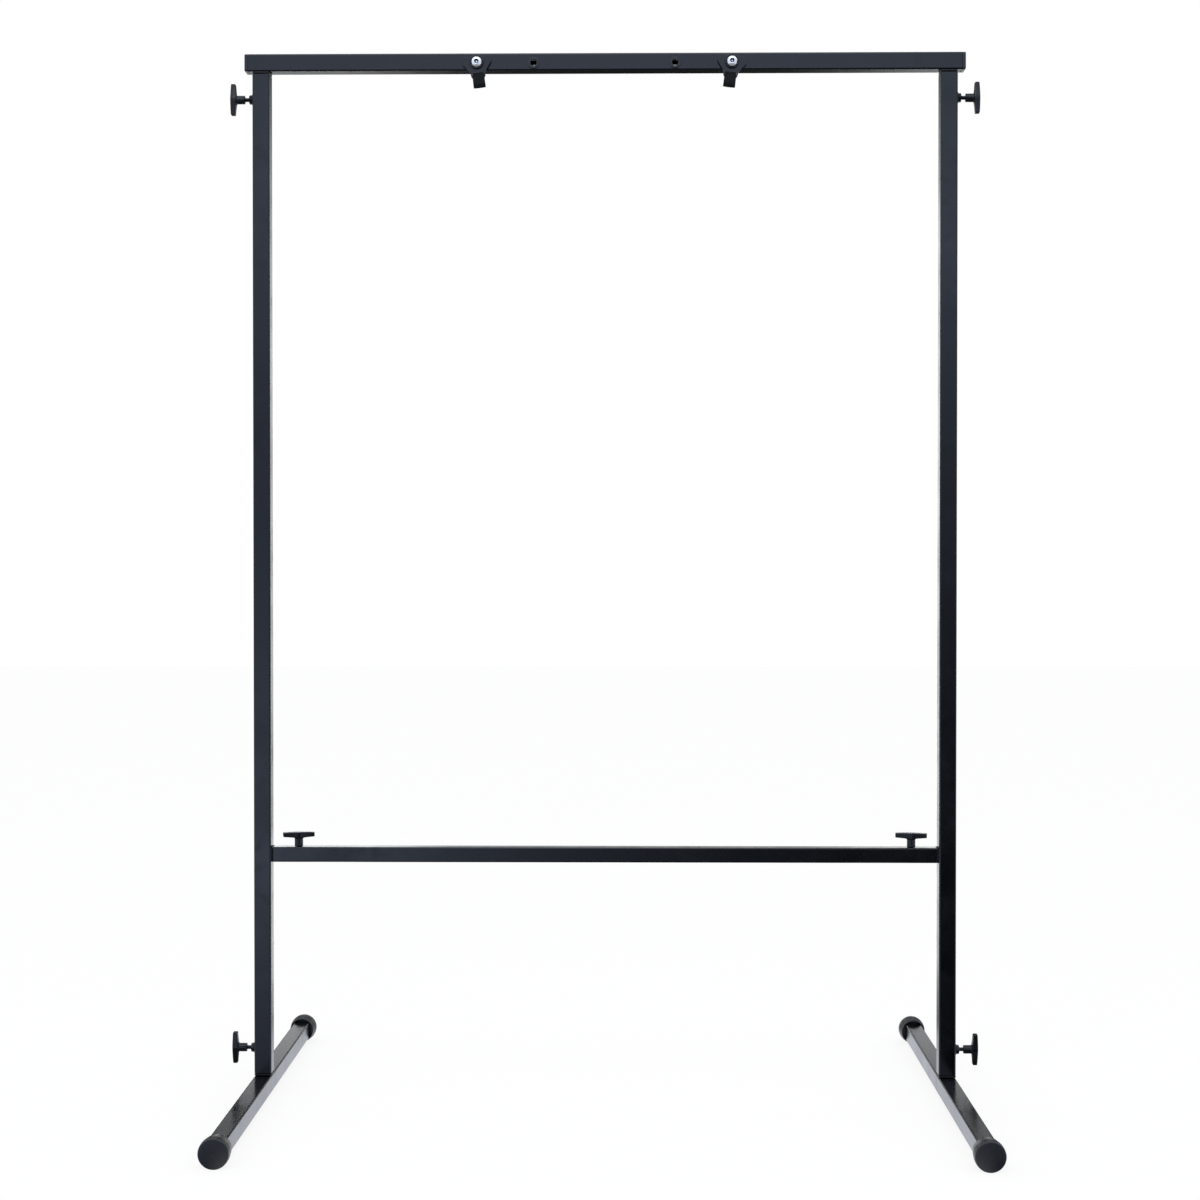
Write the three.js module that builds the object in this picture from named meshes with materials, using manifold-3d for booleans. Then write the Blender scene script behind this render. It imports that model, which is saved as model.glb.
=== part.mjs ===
// A knock-down gong stand of square steel tube. Two uprights stand on long cross feet,
// a beam closes the frame at the top and a lighter crossbar braces it low down. Welded
// stubs plug into the tube ends and clamp knobs hold them. Two pivoting hangers with
// webbing loops are bolted to the beam.
// Lengths are millimetres, +Z is up, the front faces -Y and +X is its right-hand side.
// The origin lies on the floor below the middle of the frame.

import * as THREE from "three";
import { mergeVertices } from "three/addons/utils/BufferGeometryUtils.js";
import Module from "manifold-3d";

const wasm = await Module();
wasm.setup();

// Overall sizes
const standHeight = 1520;
const frameWidth = 1022;
const footLength = 760;
const crossbarHeight = 356.5;
const beamOverhang = 11.5;

// Square tube of the uprights, the beam and the feet
const tubeSize = 25;
const tubeWall = 1.5;
const tubeCorner = 2.2;

// Lighter tube of the crossbar
const barSize = 22;
const barWall = 1.5;
const barCorner = 2;
const barEndGap = 3;

// Stubs that plug into the tubes, each with a weld collar at its root
const stubWall = 1.5;
const stubCorner = 1.8;
const stubReach = 80;
const barStubReach = 70;
const collarHeight = 3.4;
const beadBulge = 0.4;
const beadInset = 0.2;

// Clearances
const seatGap = 0.3;
const slideGap = 0.4;
const threadGap = 0.3;
const boltGap = 0.4;
const overrun = 1;

// Clamp screws, their nuts and their knobs
const screwDiameter = 6;
const screwChamfer = 0.8;
const screwShown = 6.5;
const screwPastNut = 3;
const nutFlats = 12;
const nutHeight = 5.8;
const nutChamfer = 0.6;
const hubDiameter = 12.4;
const hubLength = 11.8;
const hubChamfer = 0.6;
const hubFillet = 0.9;
const hubFloor = 1.5;
const wingSpan = 45.6;
const wingHeight = 9;
const wingTipHeight = 6.5;
const wingCrown = 0.7;
const wingTipDepth = 9;
const topKnobDrop = 39;
const bottomKnobRise = 39.6;
const barKnobInset = 36;
const wingStationShares = [0, 0.27, 0.6, 0.95, 1];
const wingTipShare = 0.8;
const wingSquareness = 3.4;
const knobTurns = { top_left: 3, top_right: -4, bottom_left: -2, bottom_right: 5 };
const barKnobTurns = { left: 12, right: -9 };

// Rubber boots on the feet
const bootLength = 30;
const bootFloor = 5;
const bootCover = 3.6;
const bootFlat = 0.5;
const bootMouthStep = 1.8;
const bootMouthRounding = 1;
const bootMouthWall = 1.4;
const bootRecessDepth = 8;
const bootSwellLength = 18;
const bootEndStep = 0.3;
const bootRounding = 1.6;
const bootDome = 0.3;
const bootDimple = 1.2;

// Plastic caps in the ends of the beam
const capFlange = 5;
const capChamfer = 1.6;
const capInsert = 14;
const capWall = 2;
const capRib = 1;
const capRibStep = 0.5;

// Hangers, with the bolts that carry them
const hangerSpread = 369;
const holeDrop = 2;
const hangerLean = 7;
const plateWidth = 42;
const plateThickness = 2.5;
const plateRise = 8.6;
const plateDrop = 23;
const plateShoulderDrop = 13;
const plateShoulderWidth = 23.4;
const plateTipWidth = 19.4;
const plateCorner = 5;
const strapWidth = 17;
const strapThickness = 1.2;
const strapTopRadius = 1.65;
const strapBottomRadius = 4.5;
const strapBelowPlate = 14.7;
const strapBarHeight = 4.6;
const boltDiameter = 8;
const boltHead = 14.8;
const boltHeadHeight = 4.4;
const boltSocketFlats = 5.6;
const boltSocketDepth = 2.8;
const boltPastNut = 2.3;
const boltNutFlats = 13;
const boltNutHeight = 6.5;
const washerDiameter = 17;
const washerThickness = 1.6;
const spacerDiameter = 16;
const spacerThickness = 3;
const cupDiameter = 20;
const cupFloor = 2;
const cupHeight = 3.4;
const cupRim = 1.8;

// Bushes in the spare pair of holes
const spareSpread = 205;
const bushBore = 8.8;
const bushWall = 1.1;
const bushFlange = 17;
const bushFlangeThickness = 1.6;
const bushLip = 0.6;
const bushLipLength = 1.4;

// Steps of the rounded forms
const cornerSteps = 2;
const roundSides = 14;
const smallSides = 12;
const bootSides = 20;
const arcSteps = 3;
const strapSteps = 8;
const sectionSides = 10;

// Places and sizes that follow from the values above
const halfTube = tubeSize / 2;
const halfFrame = frameWidth / 2;
const uprightX = halfFrame - halfTube;
const socketSize = tubeSize + 2 * seatGap;
const socketCorner = tubeCorner + seatGap;
const socketDiagonal = (socketSize / 2 - socketCorner) * Math.SQRT2 + socketCorner;
const bootRadius = socketDiagonal + bootCover;
const footAxis = bootRadius - bootFlat;
const footTop = footAxis + halfTube;
const beamUnderside = standHeight - tubeSize;
const beamAxis = standHeight - halfTube;
const holeAxis = beamAxis - holeDrop;
const collarSpace = collarHeight + 2 * seatGap;
const uprightBottom = footTop + collarSpace;
const uprightTop = beamUnderside - collarSpace;
const uprightLength = uprightTop - uprightBottom;
const stubSize = tubeSize - 2 * (tubeWall + slideGap);
const barStubSize = barSize - 2 * (barWall + slideGap);
const innerFaceX = uprightX - halfTube;
const crossbarEndX = innerFaceX - barEndGap;
const barCollarHeight = barEndGap - 2 * seatGap;
const screwHole = screwDiameter + 2 * boltGap;
const wingDepth = hubDiameter + 2 * hubFillet;
const topKnobZ = beamUnderside - topKnobDrop;
const bottomKnobZ = footTop + bottomKnobRise;
const barKnobX = crossbarEndX - barKnobInset;
const beamTubeLength = frameWidth + 2 * (beamOverhang - capFlange - seatGap);
const boltHole = boltDiameter + 2 * boltGap;
const bushDiameter = bushBore + 2 * bushWall;
const spacerBack = halfTube + seatGap;
const plateBack = spacerBack + spacerThickness + seatGap;
const cupBack = plateBack + plateThickness + seatGap;
const headBack = cupBack + cupFloor + seatGap;
const boltNutBack = halfTube + 2 * seatGap + washerThickness;
const boltLength = headBack + boltNutBack + boltNutHeight + boltPastNut;

const blackPaint = new THREE.MeshStandardMaterial({ color: 0x16181c, roughness: 0.42 });
const blackSteel = new THREE.MeshStandardMaterial({ color: 0x121316, roughness: 0.5 });
const blackPlastic = new THREE.MeshStandardMaterial({ color: 0x0d0d0f, roughness: 0.38 });
const rubber = new THREE.MeshStandardMaterial({ color: 0x141415, roughness: 0.8 });
const webbing = new THREE.MeshStandardMaterial({ color: 0x101114, roughness: 0.85 });
const brightSteel = new THREE.MeshStandardMaterial({
  color: 0xd6d8da,
  roughness: 0.2,
  metalness: 1,
});
const darkSteel = new THREE.MeshStandardMaterial({
  color: 0x2a2b2e,
  roughness: 0.35,
  metalness: 0.8,
});

// A closed geometry as a solid that can be joined and cut
function solidOf(geometry) {
  const bare = geometry.clone();
  bare.deleteAttribute("normal");
  bare.deleteAttribute("uv");
  const merged = mergeVertices(bare);
  const corners = [];
  for (let i = 0; i < merged.index.count; i += 3) {
    const [a, b, c] = [0, 1, 2].map((k) => merged.index.getX(i + k));
    if (a !== b && b !== c && c !== a) corners.push(a, b, c);
  }
  const mesh = new wasm.Mesh({
    numProp: 3,
    vertProperties: new Float32Array(merged.attributes.position.array),
    triVerts: new Uint32Array(corners),
  });
  return new wasm.Manifold(mesh);
}

// A solid as a geometry that a mesh can show
function geometryOf(solid) {
  const mesh = solid.getMesh();
  const geometry = new THREE.BufferGeometry();
  geometry.setAttribute("position", new THREE.BufferAttribute(mesh.vertProperties, 3));
  geometry.setIndex(new THREE.BufferAttribute(mesh.triVerts, 1));
  geometry.computeVertexNormals();
  return geometry;
}

function cut(body, ...tools) {
  return geometryOf(tools.reduce((left, tool) => left.subtract(solidOf(tool)), solidOf(body)));
}

function joined(...pieces) {
  return geometryOf(pieces.map(solidOf).reduce((left, piece) => left.add(piece)));
}

function common(first, second) {
  return geometryOf(solidOf(first).intersect(solidOf(second)));
}

// The outline of a square section with rounded corners
function squareOutline(size, corner) {
  const half = size / 2;
  const flat = half - corner;
  const outline = new THREE.Shape();
  outline.absarc(flat, -flat, corner, -Math.PI / 2, 0);
  outline.absarc(flat, flat, corner, 0, Math.PI / 2);
  outline.absarc(-flat, flat, corner, Math.PI / 2, Math.PI);
  outline.absarc(-flat, -flat, corner, Math.PI, (3 * Math.PI) / 2);
  outline.closePath();
  return outline;
}

function extruded(outline, depth, curveSegments = cornerSteps) {
  return new THREE.ExtrudeGeometry(outline, { depth, curveSegments, bevelEnabled: false });
}

function squareBar(size, corner, length) {
  return extruded(squareOutline(size, corner), length);
}

// A square tube from z = 0 up, open at both ends
function squareTube(size, wall, corner, length) {
  const outline = squareOutline(size, corner);
  outline.holes.push(squareOutline(size - 2 * wall, innerCorner(corner, wall)));
  return extruded(outline, length);
}

function innerCorner(corner, wall) {
  return (corner * corner) / (corner + wall);
}

// A turned shape about Z from pairs of radius and height
function turned(profile, sides = roundSides) {
  const points = profile.map(([radius, height]) => new THREE.Vector2(radius, height));
  return new THREE.LatheGeometry(points, sides).rotateX(Math.PI / 2);
}

// A round rod from z = 0 up, with a chamfer at each end
function rod(diameter, length, chamfer = 0) {
  const radius = diameter / 2;
  const profile = chamfer
    ? [[0, 0], [radius - chamfer, 0], [radius, chamfer], [radius, length - chamfer],
      [radius - chamfer, length], [0, length]]
    : [[0, 0], [radius, 0], [radius, length], [0, length]];
  return turned(profile);
}

// A flat ring from z = 0 up
function ring(bore, diameter, thickness) {
  const inner = bore / 2;
  const outer = diameter / 2;
  const profile = [[inner, 0], [outer, 0], [outer, thickness], [inner, thickness], [inner, 0]];
  return turned(profile, smallSides);
}

// Points of a quarter circle, as pairs of radius and height
function quarter(centreRadius, centreHeight, size, from) {
  return Array.from({ length: arcSteps + 1 }, (_, i) => {
    const angle = from + (Math.PI / 2) * (i / arcSteps);
    return [centreRadius + size * Math.cos(angle), centreHeight + size * Math.sin(angle)];
  });
}

// A closed body through a row of rings that have the same number of points
function loft(rings) {
  const sides = rings[0].length;
  const centreOf = (points) =>
    points.reduce((sum, p) => sum.add(p), new THREE.Vector3()).divideScalar(sides);
  const points = [...rings.flat(), centreOf(rings[0]), centreOf(rings.at(-1))];
  const first = rings.length * sides;
  const last = first + 1;
  const index = [];
  for (let i = 0; i < sides; i += 1) {
    const next = (i + 1) % sides;
    const top = (rings.length - 1) * sides;
    index.push(first, next, i);
    index.push(last, top + i, top + next);
    for (let level = 0; level < rings.length - 1; level += 1) {
      const low = level * sides;
      const high = low + sides;
      index.push(low + i, low + next, high + i);
      index.push(low + next, high + next, high + i);
    }
  }
  const geometry = new THREE.BufferGeometry().setFromPoints(points);
  geometry.setIndex(index);
  geometry.computeVertexNormals();
  return geometry;
}

// A rounded square as a ring of points at one height
function squareRing(size, corner, height) {
  const points = squareOutline(size, corner).getPoints(cornerSteps);
  return points.slice(0, -1).map((p) => new THREE.Vector3(p.x, p.y, height));
}

// A hexagon nut from z = 0 up, with its corners chamfered at both faces
function nut(flats, height, bore, chamfer) {
  const radius = flats / Math.sqrt(3);
  const corners = Array.from({ length: 6 }, (_, i) => {
    const angle = (Math.PI / 3) * i;
    return new THREE.Vector2(radius * Math.cos(angle), radius * Math.sin(angle));
  });
  const outline = new THREE.Shape(corners);
  outline.holes.push(new THREE.Path().absarc(0, 0, bore / 2, 0, 2 * Math.PI));
  return common(extruded(outline, height, roundSides / 2), rod(2 * radius, height, chamfer));
}

// A stub from z = 0 up: a short tube with a bulging weld collar round its root
function stub(size, reach, collarSize, collarRise, collarCorner) {
  const length = collarRise + reach;
  const collar = loft([
    squareRing(collarSize - 2 * beadInset, collarCorner, 0),
    squareRing(collarSize, collarCorner, collarRise / 2),
    squareRing(collarSize - 2 * beadBulge, collarCorner, collarRise),
  ]);
  const bore = squareBar(size - 2 * stubWall, innerCorner(stubCorner, stubWall), length + 2 * overrun);
  bore.translate(0, 0, -overrun);
  return cut(joined(collar, squareBar(size, stubCorner, length)), bore);
}

// An upright from z = 0 up, with a screw hole near each end of its outer wall
function upright(side) {
  const holes = [topKnobZ, bottomKnobZ].map((height) => {
    const hole = rod(screwHole, tubeWall + 2 * overrun).rotateY((side * Math.PI) / 2);
    return hole.translate(side * (halfTube - tubeWall - overrun), 0, height - uprightBottom);
  });
  return cut(squareTube(tubeSize, tubeWall, tubeCorner, uprightLength), ...holes);
}

// The beam along X, centred, with two hanger holes and two wider bush holes below its axis
function beam() {
  const tube = squareTube(tubeSize, tubeWall, tubeCorner, beamTubeLength);
  tube.translate(0, 0, -beamTubeLength / 2).rotateY(Math.PI / 2);
  const holes = [
    [hangerSpread, boltHole],
    [spareSpread, bushDiameter + 2 * seatGap],
  ].flatMap(([spread, diameter]) => [-1, 1].map((side) => {
    const hole = rod(diameter, tubeSize + 2 * overrun).rotateX(Math.PI / 2);
    return hole.translate((side * spread) / 2, halfTube + overrun, -holeDrop);
  }));
  return cut(tube, ...holes);
}

// The crossbar along X, centred, with a screw hole through its top wall near each end
function crossbar() {
  const length = 2 * crossbarEndX;
  const tube = squareTube(barSize, barWall, barCorner, length);
  tube.translate(0, 0, -length / 2).rotateY(Math.PI / 2);
  const holes = [-1, 1].map((side) =>
    rod(screwHole, barWall + 2 * overrun)
      .translate(side * barKnobX, 0, barSize / 2 - barWall - overrun));
  return cut(tube, ...holes);
}

// A crossbar stub along Z, with a screw hole through the wall that faces the local side +Y
function crossbarStub() {
  const body = stub(barStubSize, barStubReach, barSize, barCollarHeight, barCorner);
  const hole = rod(screwHole, stubWall + 2 * overrun).rotateX(-Math.PI / 2);
  const fromRoot = innerFaceX - seatGap - barKnobX;
  hole.translate(0, barStubSize / 2 - stubWall - overrun, fromRoot);
  return cut(body, hole);
}

// One cross-section of the wing, at a share of the way from the middle to a tip
function wingSection(share, side) {
  const shrink = share < 1 ? 1 : wingTipShare;
  const top = hubLength + wingHeight - wingCrown * share * share;
  const height = wingHeight + (wingTipHeight - wingHeight) * share;
  const halfHeight = (height * shrink) / 2;
  const halfDepth = ((wingDepth + (wingTipDepth - wingDepth) * share) * shrink) / 2;
  const rounded = (value) => Math.sign(value) * Math.abs(value) ** (2 / wingSquareness);
  return Array.from({ length: sectionSides }, (_, i) => {
    const angle = (2 * Math.PI * (i + 0.5)) / sectionSides;
    return new THREE.Vector3(
      (side * share * wingSpan) / 2,
      halfDepth * rounded(Math.cos(angle)),
      top - height / 2 + halfHeight * rounded(Math.sin(angle)),
    );
  });
}

// A moulded wing knob from z = 0 up: a round hub that flares into a tapering cross wing,
// with a blind hole for the screw
function wingKnob() {
  const tips = wingStationShares.slice(1).reverse();
  const left = tips.map((share) => wingSection(share, -1));
  const right = wingStationShares.map((share) => wingSection(share, 1));
  const radius = hubDiameter / 2;
  const hub = turned([
    [0, 0],
    [radius - hubChamfer, 0],
    [radius, hubChamfer],
    ...quarter(radius + hubFillet, hubLength - hubFillet, hubFillet, Math.PI / 2).reverse(),
    [0, hubLength + wingHeight / 2],
  ]);
  const bore = rod(screwDiameter + 2 * threadGap, hubLength - hubFloor + overrun);
  bore.translate(0, 0, -overrun);
  return cut(joined(loft([...left, ...right]), hub), bore);
}

// A rubber boot with its mouth at z = 0: its side swells towards a flat round end,
// a square socket holds the tube below a round recess, and a flat sole faces -Y
function boot() {
  const mouth = bootRadius - bootMouthStep;
  const edge = bootRadius - bootEndStep - bootRounding;
  const shoulder = bootLength - bootRounding - bootDome;
  const body = turned([
    [0, 0],
    [mouth - bootMouthRounding, 0],
    [mouth, bootMouthRounding],
    [bootRadius, bootSwellLength],
    ...quarter(edge, shoulder, bootRounding, 0),
    [bootDimple, bootLength],
    [0, bootLength - bootDimple],
  ], bootSides);
  const socket = squareBar(socketSize, socketCorner, bootLength - bootFloor + overrun);
  const recess = rod(2 * (mouth - bootMouthWall), bootRecessDepth + overrun);
  const below = new THREE.BoxGeometry(2 * bootRadius, bootRadius, 2 * bootLength);
  return cut(
    body,
    socket.translate(0, 0, -overrun),
    recess.translate(0, 0, -overrun),
    below.translate(0, -footAxis - bootRadius / 2, bootLength / 2),
  );
}

// A beam cap whose flange starts at z = 0 and whose ribbed hollow insert reaches down
function beamCap() {
  const insertSize = tubeSize - 2 * (tubeWall + seatGap);
  const coreSize = insertSize - 2 * capRibStep;
  const flange = loft([
    squareRing(tubeSize, tubeCorner, 0),
    squareRing(tubeSize, tubeCorner, capFlange - capChamfer),
    squareRing(tubeSize - 2 * capChamfer, tubeCorner, capFlange),
  ]);
  const core = squareBar(coreSize, stubCorner, capInsert + capFlange / 2);
  const ribs = [1, 2].map((row) =>
    squareBar(insertSize, stubCorner, capRib).translate(0, 0, (-capInsert * row) / 2 + capRib));
  const hollow = squareBar(coreSize - 2 * capWall, innerCorner(stubCorner, capWall), capInsert);
  return cut(
    joined(flange, core.translate(0, 0, -capInsert), ...ribs),
    hollow.translate(0, 0, -capInsert - overrun),
  );
}

// A button-head bolt: the head stands on z = 0 and the shank reaches down
function buttonBolt() {
  const radius = boltHead / 2;
  const dome = quarter(0, 0, 1, 0).map(([across, up]) => [
    boltSocketFlats / 2 + (radius - boltSocketFlats / 2) * across,
    boltHeadHeight * up,
  ]);
  const head = turned([[0, 0], ...dome, [0, boltHeadHeight]]);
  const shank = rod(boltDiameter, boltLength + boltHeadHeight / 2, screwChamfer);
  const corners = Array.from({ length: 6 }, (_, i) => {
    const angle = (Math.PI / 3) * i;
    const reach = boltSocketFlats / Math.sqrt(3);
    return new THREE.Vector2(reach * Math.cos(angle), reach * Math.sin(angle));
  });
  const socket = extruded(new THREE.Shape(corners), boltSocketDepth + overrun);
  return cut(
    joined(head, shank.translate(0, 0, -boltLength)),
    socket.translate(0, 0, boltHeadHeight - boltSocketDepth),
  );
}

// A cup washer from z = 0 up, whose raised rim stands round the bolt's head
function cupWasher() {
  const outer = cupDiameter / 2;
  const hole = boltHole / 2;
  const rim = outer - cupRim;
  return turned([
    [hole, 0],
    [outer - cupRim / 2, 0],
    [outer, cupRim / 2],
    [outer, cupHeight - cupRim / 2],
    [outer - cupRim / 2, cupHeight],
    [rim, cupHeight],
    [rim - (cupHeight - cupFloor) / 2, cupFloor],
    [hole, cupFloor],
    [hole, 0],
  ]);
}

// A hanger plate drawn with the bolt's axis at its origin, from z = 0 up
function hangerPlate() {
  const half = plateWidth / 2;
  const outline = new THREE.Shape();
  outline.moveTo(half, 0);
  outline.absarc(half - plateCorner, plateRise - plateCorner, plateCorner, 0, Math.PI / 2);
  outline.absarc(plateCorner - half, plateRise - plateCorner, plateCorner, Math.PI / 2, Math.PI);
  outline.lineTo(-half, 0);
  outline.lineTo(-plateShoulderWidth / 2, -plateShoulderDrop);
  outline.lineTo(-plateTipWidth / 2, -plateDrop);
  outline.lineTo(plateTipWidth / 2, -plateDrop);
  outline.lineTo(plateShoulderWidth / 2, -plateShoulderDrop);
  outline.closePath();
  outline.holes.push(new THREE.Path().absarc(0, 0, boltHole / 2, 0, 2 * Math.PI));
  const plate = new THREE.ExtrudeGeometry(outline, {
    depth: plateThickness,
    curveSegments: roundSides / 2,
    bevelEnabled: false,
  });
  const slotHeight = strapTopRadius + strapThickness + seatGap;
  const slot = new THREE.BoxGeometry(strapWidth + 2 * slideGap, slotHeight, 2 * plateDrop);
  return cut(plate, slot.translate(0, slotHeight / 2 + strapBarHeight - plateDrop, 0));
}

// The outline of a band laid round an upper and a lower circle
function bandOutline(upperRadius, lowerRadius, distance) {
  const lean = Math.asin((lowerRadius - upperRadius) / distance);
  const outline = new THREE.Shape();
  outline.absarc(0, 0, upperRadius, lean, Math.PI - lean);
  outline.absarc(0, -distance, lowerRadius, Math.PI - lean, 2 * Math.PI + lean);
  outline.closePath();
  return outline;
}

// A loop of webbing, centred across its width, with its upper turn round the origin
function webbingLoop() {
  const distance = strapBarHeight + strapBelowPlate - strapThickness - strapBottomRadius;
  const outline = bandOutline(
    strapTopRadius + strapThickness,
    strapBottomRadius + strapThickness,
    distance,
  );
  outline.holes.push(bandOutline(strapTopRadius, strapBottomRadius, distance));
  const loop = extruded(outline, strapWidth, strapSteps).translate(0, 0, -strapWidth / 2);
  return loop.rotateX(Math.PI / 2).rotateZ(Math.PI / 2);
}

// A snap-in bush whose flange stands on z = 0 and whose sleeve reaches down through a wall
function snapBush() {
  const bore = bushBore / 2;
  const sleeve = bushDiameter / 2;
  const flange = bushFlange / 2;
  const grip = tubeWall + 2 * seatGap;
  return turned([
    [bore, -grip - bushLipLength],
    [sleeve, -grip - bushLipLength],
    [sleeve + bushLip, -grip],
    [sleeve, -grip],
    [sleeve, 0],
    [flange, 0],
    [flange, bushFlangeThickness / 2],
    [flange - bushFlangeThickness / 2, bushFlangeThickness],
    [bore, bushFlangeThickness],
    [bore, -grip - bushLipLength],
  ], smallSides);
}

// A named mesh, placed inside the group that carries it
function place(parent, name, geometry, material, position, rotation = [0, 0, 0]) {
  const mesh = new THREE.Mesh(geometry, material);
  mesh.name = name;
  mesh.position.set(...position);
  mesh.rotation.set(...rotation);
  parent.add(mesh);
}

// A nested group at a place and a turn
function carrier(parent, position, rotation = [0, 0, 0]) {
  const holder = new THREE.Group();
  holder.position.set(...position);
  holder.rotation.set(...rotation);
  parent.add(holder);
  return holder;
}

// A clamp knob along local Z from z = 0, the outer face that its screw passes through.
// innerEnd is how far inside that face the screw ends, and hubStart how far outside the hub starts.
function addKnob(parent, label, innerEnd, hubStart, turn) {
  const screwLength = innerEnd + hubStart + hubLength - hubFloor - seatGap;
  place(parent, `knob_screw_${label}`, rod(screwDiameter, screwLength, screwChamfer), darkSteel,
    [0, 0, -innerEnd]);
  place(parent, `knob_handle_${label}`, wingKnob(), blackPlastic,
    [0, 0, hubStart], [0, 0, THREE.MathUtils.degToRad(turn)]);
}

// A knob and its welded nut on the outer face of an upright
function addSideKnob(parent, label, side, height, turn) {
  const holder = carrier(parent, [side * halfFrame, 0, height], [0, (side * Math.PI) / 2, 0]);
  const threadedNut = nut(nutFlats, nutHeight, screwDiameter + 2 * threadGap, nutChamfer);
  place(holder, `weld_nut_${label}`, threadedNut, blackPaint, [0, 0, seatGap]);
  const toStub = tubeWall + slideGap - seatGap;
  addKnob(holder, label, toStub, seatGap + nutHeight + screwShown, turn);
}

// A knob on top of the crossbar, with its nut held under the stub's top wall
function addBarKnob(parent, label, side, turn) {
  const holder = carrier(parent, [side * barKnobX, 0, crossbarHeight + barSize / 2]);
  const nutTop = barWall + slideGap + stubWall + seatGap;
  const threadedNut = nut(nutFlats, nutHeight, screwDiameter + 2 * threadGap, nutChamfer);
  place(holder, `stub_nut_${label}`, threadedNut, darkSteel, [0, 0, -nutTop - nutHeight]);
  addKnob(holder, `crossbar_${label}`, nutTop + nutHeight + screwPastNut, seatGap, turn);
}

// A foot along Y with a boot on each end and its stub on top
function addFoot(parent, label, side) {
  const holder = carrier(parent, [side * uprightX, 0, 0]);
  const tubeLength = footLength - 2 * (bootFloor + seatGap);
  place(holder, `foot_tube_${label}`, squareTube(tubeSize, tubeWall, tubeCorner, tubeLength),
    blackPaint, [0, tubeLength / 2, footAxis], [Math.PI / 2, 0, 0]);
  place(holder, `foot_stub_${label}`, stub(stubSize, stubReach, tubeSize, collarHeight, tubeCorner),
    blackPaint, [0, 0, footTop + seatGap]);
  for (const [end, turn] of [["front", 0], ["rear", Math.PI]]) {
    const tip = carrier(holder, [0, 0, 0], [0, 0, turn]);
    place(tip, `boot_${label}_${end}`, boot(), rubber,
      [0, bootLength - footLength / 2, footAxis], [Math.PI / 2, 0, 0]);
  }
}

// The bolt, cup washer, spacer, rear washer and nut that carry a hanger on the beam
function addHangerBolt(parent, label, side) {
  const holder = carrier(parent, [(side * hangerSpread) / 2, 0, holeAxis], [Math.PI / 2, 0, 0]);
  place(holder, `hanger_spacer_${label}`, ring(boltHole, spacerDiameter, spacerThickness),
    blackPlastic, [0, 0, spacerBack]);
  place(holder, `cup_washer_${label}`, cupWasher(), rubber, [0, 0, cupBack]);
  place(holder, `hanger_bolt_${label}`, buttonBolt(), brightSteel, [0, 0, headBack]);
  const rear = carrier(holder, [0, 0, 0], [Math.PI, 0, 0]);
  place(rear, `rear_washer_${label}`, ring(boltHole, washerDiameter, washerThickness),
    brightSteel, [0, 0, halfTube + seatGap]);
  place(rear, `hanger_nut_${label}`,
    nut(boltNutFlats, boltNutHeight, boltDiameter + 2 * threadGap, nutChamfer),
    brightSteel, [0, 0, boltNutBack]);
}

// A hanger plate and its webbing loop, leaning inwards about the bolt
function addHanger(parent, label, side) {
  const lean = THREE.MathUtils.degToRad(side * hangerLean);
  const holder = carrier(parent, [(side * hangerSpread) / 2, 0, holeAxis], [0, lean, 0]);
  place(holder, `hanger_plate_${label}`, hangerPlate(), blackSteel,
    [0, -plateBack, 0], [Math.PI / 2, 0, 0]);
  const strapTop = strapBarHeight - plateDrop - seatGap;
  place(holder, `hanger_strap_${label}`, webbingLoop(), webbing,
    [0, -plateBack - plateThickness / 2, strapTop]);
}

// The end cap, the stub and the two spare-hole bushes on one half of the beam
function addBeamFittings(parent, label, side) {
  place(parent, `beam_cap_${label}`, beamCap(), blackPlastic,
    [side * (beamTubeLength / 2 + seatGap), 0, beamAxis], [0, (side * Math.PI) / 2, 0]);
  place(parent, `beam_stub_${label}`, stub(stubSize, stubReach, tubeSize, collarHeight, tubeCorner),
    blackPaint, [side * uprightX, 0, beamUnderside - seatGap], [Math.PI, 0, 0]);
  for (const [face, turn] of [["front", Math.PI / 2], ["rear", -Math.PI / 2]]) {
    const out = face === "front" ? -1 : 1;
    place(parent, `spare_bush_${label}_${face}`, snapBush(), blackPlastic,
      [(side * spareSpread) / 2, out * (halfTube + seatGap), holeAxis], [turn, 0, 0]);
  }
}

const group = new THREE.Group();
place(group, "beam_tube", beam(), blackPaint, [0, 0, beamAxis]);
place(group, "crossbar", crossbar(), blackPaint, [0, 0, crossbarHeight]);

for (const [label, side] of [["left", -1], ["right", 1]]) {
  place(group, `upright_${label}`, upright(side), blackPaint, [side * uprightX, 0, uprightBottom]);
  const root = carrier(group, [side * (innerFaceX - seatGap), 0, crossbarHeight],
    [Math.PI / 2, 0, 0]);
  place(root, `crossbar_stub_${label}`, crossbarStub(), blackPaint,
    [0, 0, 0], [0, (-side * Math.PI) / 2, 0]);
  addFoot(group, label, side);
  addBeamFittings(group, label, side);
  addHangerBolt(group, label, side);
  addHanger(group, label, side);
  addSideKnob(group, `top_${label}`, side, topKnobZ, knobTurns[`top_${label}`]);
  addSideKnob(group, `bottom_${label}`, side, bottomKnobZ, knobTurns[`bottom_${label}`]);
  addBarKnob(group, label, side, barKnobTurns[label]);
}

export default group;
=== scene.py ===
import math

import bmesh
import bpy
from mathutils import Matrix, Vector


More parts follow.
